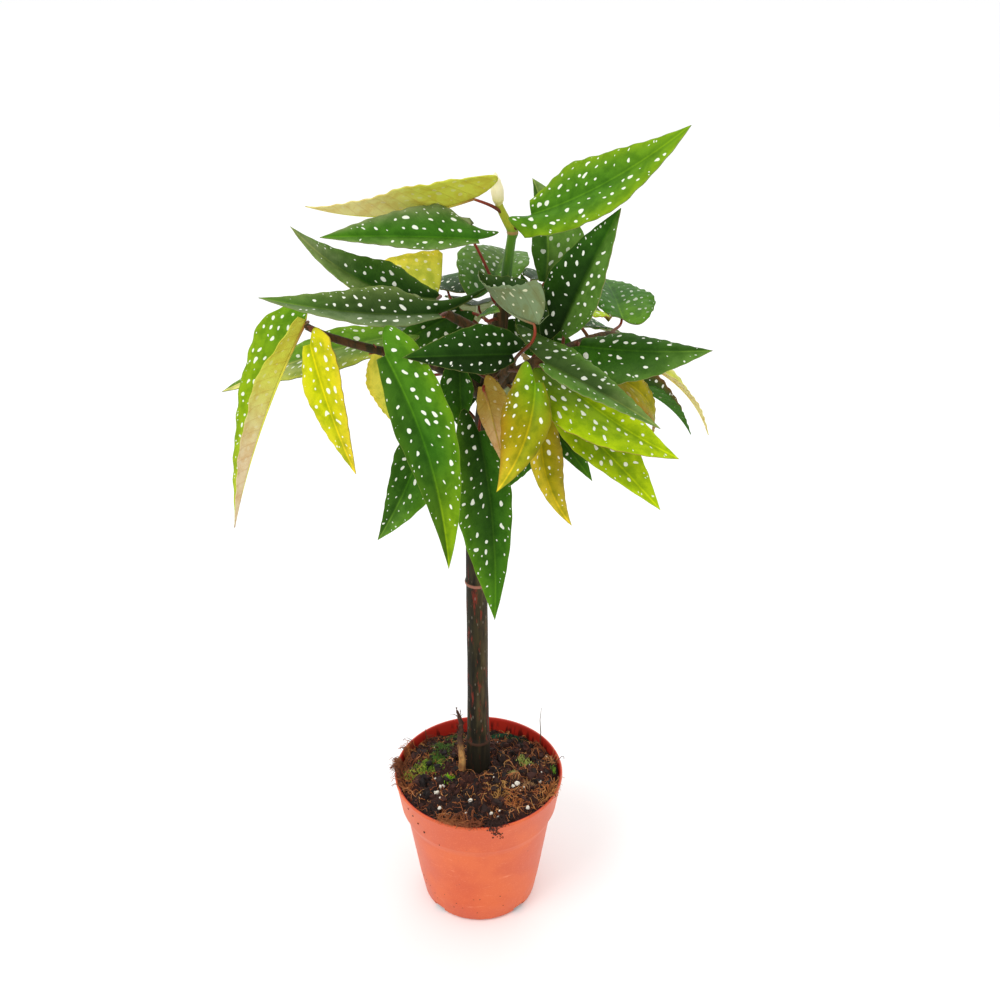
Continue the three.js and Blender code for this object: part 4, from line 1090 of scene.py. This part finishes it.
moss = {
    # Patches: where, how far they spread across and back, how many tufts and their tint.
    "patches": [(-45, -4, 7, 5, 330, "96a03c"), (-36, 2, 8, 6, 420, "74902c"),
                (-28, 12, 7, 8, 380, "4f7428"), (-26, 26, 7, 7, 280, "4c6a2c"),
                (-21, -14, 4, 3, 190, "86c020"), (33, 7, 5, 4, 240, "94a052"),
                (53, 3, 1.5, 4, 60, "5f9426"), (12, 44, 6, 4, 220, "12583a"),
                (22, 42, 7, 5, 240, "0f4a30"), (32, 40, 5, 4, 120, "12402a"),
                (-18, 40, 7, 6, 150, "4a5f2a"), (24, -6, 3, 2, 90, "a8a468")],
    "spread": 0.55, "between": (9.5, 54.5), "height": (1.0, 2.6), "radius": (0.18, 0.42),
    "tipRadius": 0.05, "sunk": 0.32, "lift": 0.6, "leanMost": 0.9, "brightness": (0.6, 1.5),
}


def makeMoss():
    draw = random.Random(31)
    bm, tint = tintedMesh()
    nearest, farthest = moss["between"]
    for cx, cy, spreadX, spreadY, count, text in moss["patches"]:
        shade = linearColour(text)
        for i in range(count):
            x, y = cx + draw.gauss(0, spreadX * moss["spread"]), cy + draw.gauss(0, spreadY * moss["spread"])
            if not nearest < math.hypot(x, y) < farthest:
                continue
            height, radius = draw.uniform(*moss["height"]), draw.uniform(*moss["radius"])
            angle = draw.uniform(0, moss["leanMost"])
            lean = Matrix.Rotation(angle, 4, Vector((draw.uniform(-1, 1), draw.uniform(-1, 1), 0.01)))
            place = Matrix.Translation(onSoil(x, y, height * moss["sunk"] + moss["lift"]))
            made = bmesh.ops.create_cone(
                bm, cap_ends=True, segments=4, radius1=radius * mm, radius2=moss["tipRadius"] * mm,
                depth=height * mm, matrix=place @ lean)["verts"]
            paint(made, tint, shade * draw.uniform(*moss["brightness"]))
    material = makeTinted("moss", 0.8, (1.4, 1.3, 0.9), 900)
    return finishPiece("soil_moss", bm, [material], smooth=False)


for make in (makeSoil, makeCrumbs, makePerlite, makeFibres, makeMoss):
    make()
print("soil made")


# Cane and shoots: bark with rings, pores and red streaks. Heights in the materials are in metres.

bark = {
    "sides": 7, "shootSides": 4, "ridges": 0.22, "step": 1.1, "ridgePitch": (0.35, 0.35, 0.05),
    # The shade tint is a painted shade, laid on the cane's left side.
    "dark": "211b11", "light": "4e4229", "shade": (0.45, 0.5, 0.4), "patch": (0.62, 0.66, 0.5),
    "streak": "7e281a", "crownDark": "38341a", "crownLight": "5a3c20", "foot": "14120a", "pore": "a39684",
    "rings": ((0.266, "a8705c"), (0.136, "5c3a2c")),
}


def makeBarkMaterial():
    material, tree, shader = newMaterial("cane bark", 0.62, Specular_IOR_Level=0.15)
    x, y, z = threeParts(tree, objectPlace(tree))
    long = noiseValue(tree, objectPlace(tree, (240, 240, 26)), 1.0, 5, 0.65)
    broad = noiseValue(tree, objectPlace(tree, (70, 70, 24)), 1.0, 3)
    red = noiseValue(tree, objectPlace(tree, (330, 330, 60)), 1.0, 4, 0.7)
    pores = addNode(tree, "TexVoronoi", {"Vector": objectPlace(tree, (330, 330, 130)), "Scale": 1.0})
    base = mixColour(tree, softStep(tree, long, 0.36, 0.66), rgba(bark["dark"]), rgba(bark["light"]))
    # Painted shade: the cane's left side is darker, as though lit from the right.
    side = softStep(tree, minus(tree, x, times(tree, y, 0.3)), -0.003, 0.0055)
    base = mixColour(tree, side, scaled(tree, base, bark["shade"]), base)
    base = toned(tree, base, softStep(tree, broad, 0.42, 0.62), 1.0, bark["patch"])
    streak = times(tree, softStep(tree, red, 0.55, 0.66), softStep(tree, z, 0.320, 0.235))
    base = laid(tree, base, streak, 0.7, rgba(bark["streak"]))
    young = mixColour(tree, softStep(tree, long, 0.4, 0.6), rgba(bark["crownDark"]),
                      rgba(bark["crownLight"]))
    base = laid(tree, base, softStep(tree, z, 0.385, 0.440), 0.75, young)
    for height, text in bark["rings"]:
        base = laid(tree, base, ringMask(tree, z, height, 0.0016, 0.0006), 0.75, rgba(text))
    base = laid(tree, base, softStep(tree, z, 0.150, 0.122), 0.86, rgba(bark["foot"]))
    dots = softStep(tree, pores.outputs["Distance"], 0.22, 0.12)
    for none, full in ((0.126, 0.150), (0.380, 0.330)):  # no pores near the soil or the crown
        dots = times(tree, dots, softStep(tree, z, none, full))
    base = laid(tree, base, dots, 0.25, rgba(bark["pore"]))
    coat(tree, shader, base, plus(tree, long, times(tree, dots, 0.5)), 0.0007, 0.9)
    return material


def roughen(verts, depth, pitch=bark["ridgePitch"]):  # long low ridges, as on bark
    for vert in verts:
        place = vert.co / mm
        wave = noise.noise(Vector((place.x * pitch[0], place.y * pitch[1], place.z * pitch[2])))
        vert.co += vert.normal * (wave * depth * mm)


def makeCane():
    bm = bmesh.new()
    for name in ("cane", "left", "upperLeft", "right", "front", "back"):
        sides = bark["sides"] if name == "cane" else bark["shootSides"]
        addTube(bm, *stemLine(stems[name], bark["step"]), roundness=sides)
    bm.normal_update()
    roughen(bm.verts, bark["ridges"])
    return finishPiece("cane_bark", bm, [makeBarkMaterial()], ["cane"], outward=False)


shoot = {"step": 0.8, "sides": 5, "ridges": 0.12, "low": "2c5212", "high": "4c7a14", "young": "98a01e",
         "ring": "a8744a", "ringHeight": 0.501, "streak": "7c9626"}


def makeLeading():
    material, tree, shader = newMaterial("green shoot", 0.45, Specular_IOR_Level=0.25)
    z = threeParts(tree, objectPlace(tree))[2]
    fine = noiseValue(tree, objectPlace(tree, (500, 500, 60)), 1.0, 3)
    base = mixColour(tree, softStep(tree, z, 0.470, 0.500), rgba(shoot["low"]), rgba(shoot["high"]))
    base = mixColour(tree, softStep(tree, z, 0.500, 0.506), base, rgba(shoot["young"]))
    ring = ringMask(tree, z, shoot["ringHeight"], 0.0014, 0.0005)
    base = laid(tree, base, ring, 0.7, rgba(shoot["ring"]))
    base = laid(tree, base, softStep(tree, fine, 0.5, 0.7), 0.35, rgba(shoot["streak"]))
    coat(tree, shader, base, fine, 0.0003, 0.6)
    bm = bmesh.new()
    addTube(bm, *stemLine(stems["leading"], shoot["step"]), roundness=shoot["sides"])
    bm.normal_update()
    roughen(bm.verts, shoot["ridges"])
    return finishPiece("leading_stem", bm, [material], ["leading_shoot"], outward=False)


bud = {
    "sections": [(14.4, 0, 516.5, 2.0), (14, 0, 520, 3.3), (13.4, 0, 525, 3.7), (12.6, 0, 530, 2.9),
                 (12.4, 0, 533, 1.5), (12.4, 0, 535, 0.3)],
    "step": 0.5, "sides": 7, "low": "c9c66a", "high": "efe6bb", "line": "d9cf96",
    # The sheath's overlap is a low ridge that winds up one side.
    "axis": 13.4, "foot": 516, "ridge": 0.35, "ridgeTurn": -1.2, "ridgeWidth": 0.35, "winding": 0.05,
}


def makeBud():
    material, tree, shader = newMaterial("bud sheath", 0.5, Subsurface_Weight=0.25, Subsurface_Scale=0.003,
                                         Subsurface_Radius=(1.0, 0.9, 0.6))
    z = threeParts(tree, objectPlace(tree))[2]
    lines = noiseValue(tree, objectPlace(tree, (900, 900, 40)), 1.0, 2)
    base = mixColour(tree, softStep(tree, z, 0.517, 0.525), rgba(bud["low"]), rgba(bud["high"]))
    base = laid(tree, base, softStep(tree, lines, 0.45, 0.7), 0.45, rgba(bud["line"]))
    coat(tree, shader, base, lines, 0.0003, 0.6)
    bm = bmesh.new()
    addTube(bm, *stemLine(bud["sections"], bud["step"]), roundness=bud["sides"])
    bm.normal_update()
    for vert in bm.verts:
        place = vert.co / mm
        turn = math.atan2(place.y, place.x - bud["axis"]) + (place.z - bud["foot"]) * bud["winding"]
        away = (turn - bud["ridgeTurn"]) / bud["ridgeWidth"]
        vert.co += vert.normal * (bud["ridge"] * mm * math.exp(-away ** 2))
    return finishPiece("bud_sheath", bm, [material], ["bud"], outward=False)


sheath = {
    "sections": [(-11, -4.5, 94, 2.4), (-11.5, -4.5, 120, 2.4), (-12.5, -2, 134, 2.1), (-12, 1, 148, 1.6),
                 (-15, 3, 160, 0.5)],
    "sides": 4, "flatness": 0.45, "ridges": 0.9, "ridgePitch": (1.6, 1.6, 0.1),
    "tints": ("b88c50", "7a4e28", "3c2416"), "darkFrom": 122, "darkOver": 16,
    "frays": 34, "frayRadii": (0.3, 0.24, 0.18, 0.08), "frayTint": "5a3420",
}


def makeDrySheath():
    bm, tint = tintedMesh()
    points, radii = stemLine(sheath["sections"], 1.0)
    verts = addTube(bm, points, radii, roundness=sheath["sides"])
    bm.normal_update()
    pale, brown, dark = [linearColour(text) for text in sheath["tints"]]
    for vert in verts:
        place = vert.co / mm
        centre = min(points, key=lambda point: abs(point.z - place.z))
        vert.co.y = (centre.y + (place.y - centre.y) * sheath["flatness"]) * mm
        share = ease((place.z - sheath["darkFrom"]) / sheath["darkOver"])
        streak = ease(0.5 + 1.6 * noise.noise(Vector((place.x * 1.4, place.y * 1.4, place.z * 0.09))))
        vert[tint] = (*pale.lerp(brown, streak).lerp(dark, share), 1)
    roughen(verts, sheath["ridges"], sheath["ridgePitch"])
    draw = random.Random(8)
    for i in range(sheath["frays"]):  # frayed fibres, most at the torn top
        high = draw.uniform(118, 158)
        start = Vector((-12.5 + draw.uniform(-1.5, 1.0), draw.uniform(-3, 2.5), high))
        away = Vector((draw.uniform(-1, 0.6), draw.uniform(-0.6, 0.6), draw.uniform(0.2, 1.2))).normalized()
        line = [start + away * s + Vector((0, 0, -0.05 * s * s)) for s in (0, 2, 4, draw.uniform(5, 9))]
        paint(addTube(bm, line, sheath["frayRadii"], roundness=0), tint, linearColour(sheath["frayTint"]))
    material = makeTinted("dry bark", 0.85, (1.35, 1.2, 1.05), 600)
    return finishPiece("dry_sheath_strip", bm, [material], ["dry_sheath"], outward=False)


bracts = {
    # The shoot, how far along it and the length of the two scales there.
    "nodes": [("upperLeft", 0.55, 9), ("upperLeft", 0.75, 10), ("upperLeft", 0.95, 8), ("left", 0.3, 9),
              ("left", 0.55, 9), ("left", 0.9, 8), ("right", 0.3, 9), ("right", 0.5, 10), ("right", 0.7, 9),
              ("front", 0.5, 9), ("front", 0.85, 9), ("back", 0.6, 9)],
    "scales": 2, "width": 3.4, "edge": 0.05, "thickness": 0.3, "rows": 6, "reach": 0.04,
    "fromStem": 1.2, "flare": 2.6, "cupped": 0.6, "behind": 1, "covers": 0.8,
    "tints": ("a85a2c", "8a4424", "b8743a", "6a3a20"),
}


def makeBracts():  # papery scales at the nodes of the side shoots
    draw = random.Random(15)
    bm, tint = tintedMesh()
    for name, at, length in bracts["nodes"]:
        foot, before, after = [splinePoint(stems[name], min(1, at + step))
                               for step in (0, -bracts["reach"], bracts["reach"])]
        ahead = (after - before).normalized()
        for i in range(bracts["scales"]):
            away = Quaternion(ahead, draw.uniform(0, 6.283)) @ ahead.orthogonal().normalized()
            across = ahead.cross(away)
            shade = linearColour(draw.choice(bracts["tints"]))
            made = bmesh.ops.create_grid(bm, x_segments=2, y_segments=bracts["rows"], size=0.5)["verts"]
            for vert in made:
                edge, t = 2 * vert.co.x, vert.co.y + 0.5
                taper = max(0, math.sin(math.pi * (0.2 + 0.8 * t))) ** 0.8
                half = bracts["width"] / 2 * taper + bracts["edge"]
                outward = bracts["fromStem"] + bracts["flare"] * t * t - bracts["cupped"] * abs(edge)
                point = foot + away * outward + across * (half * edge)
                vert.co = (point + ahead * (length * t * bracts["covers"] - bracts["behind"])) * mm
            paint(made, tint, shade)
            faces = list(dict.fromkeys(face for vert in made for face in vert.link_faces))
            bmesh.ops.solidify(bm, geom=faces, thickness=bracts["thickness"] * mm)
    material = makeTinted("papery scales", 0.7, (1.4, 1.25, 1.0), 700, 0.0002)
    return finishPiece("shoot_scales", bm, [material])


dirt = {
    # Each speck: where round the pot in radians from the front, its height and its size.
    "placed": [(-0.895, 97, 1.0), (-0.81, 93, 1.1), (-0.72, 88, 1.1), (-0.98, 100, 0.7), (-0.5, 82, 0.5)],
    "splashed": 16, "smeared": 60, "radius": 0.85, "lumpiness": 0.004, "tint": "481f12",
}


def potRadius(z):  # the outside radius of the pot at a height
    for (lowRadius, lowZ), (highRadius, highZ) in zip(pot["outside"], pot["outside"][1:]):
        if lowZ <= z <= highZ:
            return lowRadius + (highRadius - lowRadius) * (z - lowZ) / (highZ - lowZ)


def makeDirt():  # specks of peat splashed on the pot's wall
    draw = random.Random(19)
    bm, tint = tintedMesh()
    specks = list(dirt["placed"])
    for i in range(dirt["splashed"]):
        specks.append((draw.uniform(-1.3, 0.5), draw.uniform(10, 30), draw.uniform(0.3, 0.7)))
    for i in range(dirt["smeared"]):  # below the rim
        down = draw.random() ** 1.4
        specks.append((0.17 + 0.1 * down + draw.gauss(0, 0.03), 106 - 12 * down, draw.uniform(0.4, 1.0)))
    for turn, z, size in specks:
        radius = potRadius(z)
        place = Matrix.Translation(Vector((radius * math.sin(turn), -radius * math.cos(turn), z)) * mm)
        shape = Matrix.Diagonal((size * mm, 0.6 * size * mm, size * draw.uniform(0.7, 1.5) * mm, 1))
        bmesh.ops.create_icosphere(bm, subdivisions=1, radius=dirt["radius"],
                                   matrix=place @ Matrix.Rotation(turn, 4, "Z") @ shape)
    for vert in bm.verts:
        vert.co *= 1 + dirt["lumpiness"] * noise.noise(vert.co * 900)
    paint(bm.verts, tint, linearColour(dirt["tint"]))
    material = makeTinted("peat specks", 0.9, (1.5, 1.4, 1.2), 900)
    return finishPiece("pot_dirt", bm, [material])


for make in (makeCane, makeLeading, makeBud, makeDrySheath, makeBracts, makeDirt):
    make()
print("stems made")


# The end.

print("scene built")
